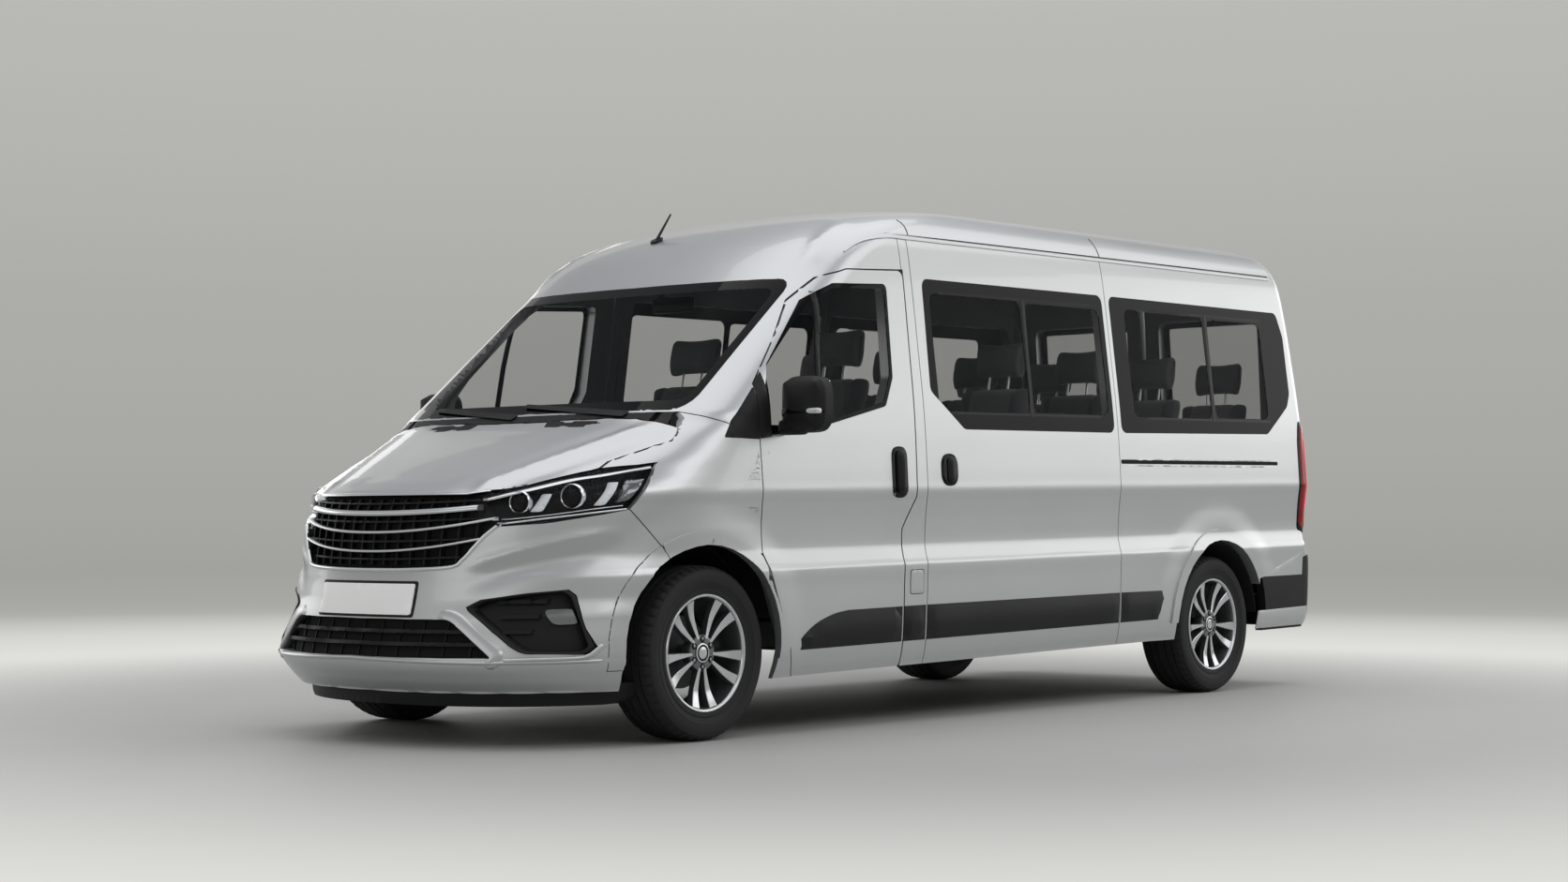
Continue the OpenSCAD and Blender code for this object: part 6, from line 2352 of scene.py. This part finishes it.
@dataclass
class Seats:
    """Front seats and four rows, each a cushion, back and headrest on a frame."""

    floor_z: float = 0.47
    half: float = 0.205
    front: tuple[Triple, ...] = ((0.62, 0.43, 0.0), (0.62, -0.4, 0.0))
    rows: tuple[float, ...] = (-0.495, -1.155, -1.815, -2.475)
    across: Outline = ((0.52, -0.155), (-0.56, 0.185), (-0.1, 0.0))

    def build(self) -> None:
        """Makes the pads once, and copies them to every seat."""
        forms = (
            PadForm("cushion", [
                (0.05, 0.318), (0.05, 0.392), (0.47, 0.408), (0.502, 0.385), (0.495, 0.322),
            ], self.half - 0.008),
            PadForm("back", [
                (0.02, 0.39), (-0.018, 0.43), (-0.138, 0.99), (-0.105, 1.012), (-0.068, 1.0), (0.052, 0.45),
            ], self.half - 0.008),
            PadForm("headrest", [
                (-0.152, 1.032), (-0.168, 1.09), (-0.182, 1.195), (-0.157, 1.214), (-0.122, 1.195),
                (-0.096, 1.09), (-0.104, 1.032),
            ], 0.14, 0.016, 0.01, (0.9,)),
        )
        pads = [form.make() for form in forms]
        self._group("front_seat", self.front, pads, 1.09, ("front_seats",))
        for i, x in enumerate(self.rows):
            seats = tuple((x, y, leg) for y, leg in self.across)
            self._group(f"row_{i + 1}", seats, pads, 1.0, ("rear_seats",) if i == 0 else ())

    def _group(
        self, name: str, seats: Sequence[Triple], pads: Sequence[bpy.types.Mesh], wide: float,
        nodes: tuple[str, ...],
    ) -> None:
        """Makes the pads and frames of some seats.

        Args:
            name: First word of the pieces' names.
            seats: Place along, across, and of the leg from there.
            pads: Pad meshes in the seat's frame.
            wide: Width of these seats, of the forms' own.
            nodes: CAD nodes that the pads stand for.
        """
        form = bmesh.new()
        frames = []
        for x, y, leg in seats:
            place = Matrix.Translation((x, y, self.floor_z)) @ Matrix.Diagonal((1.0, wide, 1.0, 1.0))
            for pad in pads:
                copy = pad.copy()
                copy.transform(place)
                form.from_mesh(copy)
                bpy.data.meshes.remove(copy)
            frames += self._frame(x, y, leg, wide)
        mesh = bpy.data.meshes.new(name + "_pads")
        form.to_mesh(mesh)
        form.free()
        for material in (CLOTH, CLOTH_SIDE):
            mesh.materials.append(material.material())
        made = settled(new_object(name + "_pads", mesh), "body", "seat_cloth", *nodes)
        settled(joined(name + "_frames", frames), "body", "cabin_plastic")

    def _frame(self, x: float, y: float, leg: float, wide: float) -> list[Obj]:
        """Leg, pan, back shell and headrest posts of one seat.

        Args:
            x: Place along.
            y: Place across.
            leg: Place of the leg from there.
            wide: Width, of the forms' own.

        Returns:
            The pieces, not yet joined.
        """
        z, half = self.floor_z, self.half * wide
        middle = y + leg
        boxes = [
            ("leg", (0.12, middle - 0.036, 0.002), (0.39, middle + 0.036, 0.29), 0.012, CHASSIS),
            ("foot", (0.1, middle - 0.05, 0.001), (0.41, middle + 0.05, 0.022), 0.006, CHASSIS),
            ("pan", (0.13, y - half + 0.03, 0.288), (0.47, y + half - 0.03, 0.322), 0.012, CABIN_PLASTIC),
        ]
        for s in (-1, 1):
            edge = y + s * half
            boxes.append(("flank", (-0.02, edge - 0.011, 0.31), (0.17, edge + 0.011, 0.4), 0.009,
                          CABIN_PLASTIC))
        pieces = []
        for name, low, high, bevel, finish in boxes:
            ends = [(x + along, across, z + up) for along, across, up in (low, high)]
            pieces.append(coat(block(name, *ends, bevel), finish))
        for s in (-1, 1):
            post = spun("post", [(0.0, 0.0), (0.006, 0.0), (0.006, 0.09), (0.0, 0.09)], 12, closed=False)
            turned(post, (x - 0.108, y + s * 0.055, z + 0.985), (-0.19, 0.0, 0.98))
            soften(post, 40.0)
            pieces.append(coat(post, CHROME))
        return pieces


@dataclass
class Cabin:
    """Dashboard with its hood and screens, inside mirror and ceiling lights."""

    driver_y: float = 0.4
    profile: Outline = (
        (1.795, 1.186), (1.66, 1.181), (1.5, 1.17), (1.38, 1.153), (1.3, 1.13), (1.252, 1.098),
        (1.236, 1.055),
        (1.24, 0.985), (1.252, 0.905), (1.3, 0.868), (1.42, 0.868), (1.62, 0.99), (1.795, 1.102),
    )

    def build(self) -> None:
        """Makes the cabin's fixed pieces."""
        self._dash()
        for *box, finish in (
            ("inside_mirror", (1.055, -0.115, 1.735), (1.085, 0.115, 1.8), 0.012, GLOSS_BLACK),
            ("ceiling_lamp_left", (-2.1, 0.3, 2.128), (0.3, 0.345, 2.143), 0.005, LENS_WHITE),
            ("ceiling_lamp_right", (-2.1, -0.345, 2.128), (0.3, -0.3, 2.143), 0.005, LENS_WHITE),
            ("mirror_stem", (1.075, -0.012, 1.775), (1.16, 0.012, 1.8), 0.006, BLACK_PLASTIC),
        ):
            dressed(block(*box), finish, slot="cabin_plastic")

    def _dash(self) -> None:
        """Dashboard drawn across the cabin, with a hood over the dials and a middle console."""
        spans = np.linspace(-0.766, 0.766, 57)
        profile = np.array(self.profile)
        points = []
        for y in spans:
            x, z = profile[:, 0].copy(), profile[:, 1].copy()
            hood = math.exp(-(((y - self.driver_y) / 0.19) ** 4))
            stack = math.exp(-((y / 0.17) ** 4))
            near = np.clip((1.5 - x) / 0.2, 0, 1) * np.clip((z - 1.08) / 0.05, 0, 1)
            z = z + 0.028 * hood * near
            rear = np.clip((1.34 - x) / 0.08, 0, 1)
            hollow = (1 - hood) * (1 - stack) * rear * np.clip((1.09 - z) / 0.05, 0, 1)
            x = x - 0.012 * stack * rear + 0.035 * hollow
            points += [(a, y, b) for a, b in zip(x, z)]
        points = [tuple(map(float, p)) for p in points]
        dash = from_faces("dash_form", points, tube_faces(len(spans), len(profile)), 45.0)
        boxes = [
            ("wall", (1.258, -0.768, 0.45), (1.293, 0.768, 0.9), 0.006, CABIN_PLASTIC),
            ("screen", (1.216, -0.115, 0.985), (1.24, 0.115, 1.118), 0.006, GLOSS_BLACK),
        ]
        for y in (-0.66, -0.19, 0.19, 0.66):
            boxes.append(("vent", (1.228, y - 0.055, 1.035), (1.262, y + 0.055, 1.095), 0.01, GLOSS_BLACK))
            for z in (1.045 + 0.0135 * k for k in range(4)):
                boxes.append(("vane", (1.223, y - 0.047, z), (1.245, y + 0.047, z + 0.004), 0.0015,
                              CABIN_PLASTIC))
        pieces = [coat(dash, CABIN_PLASTIC)]
        pieces += [coat(block(*box), finish) for *box, finish in boxes]
        settled(joined("dash_form", pieces), "body", "cabin_plastic", "dashboard")


@dataclass
class PlainNodes:
    """CAD nodes that keep their own form and take a finish."""

    record: dict

    def build(self) -> None:
        """Dresses each node by the record's material slot."""
        by_slot = {
            "black_plastic": BLACK_PLASTIC, "cabin_plastic": CABIN_PLASTIC, "seat_cloth": CLOTH,
            "tyre_rubber": TYRE, "rim_alloy": ALLOY, "chassis_steel": CHASSIS, "cast_metal": CAST,
            "lamp_red": LENS_RED, "lamp_clear": GLOSS_BLACK, "silver_paint": PAINT,
            "window_glass": GLOSS_BLACK,
        }
        for part in self.record["subparts"]:
            coat(node(part["node"]), by_slot[part["material_slot"]])


def main() -> None:
    """Builds the van's looks, piece by piece."""
    logging.basicConfig(level=logging.INFO, format="%(name)s: %(message)s")
    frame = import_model()
    Studio().build()
    PlainNodes(frame["record"]).build()
    for part in (BodyPanels, Glazing, NoseTrim, Headlamps, SideTrim, TailTrim, Wheels, Seats, Cabin):
        part().build()
        LOG.info("%s done", part.__name__)


if __name__ == "__main__":
    main()
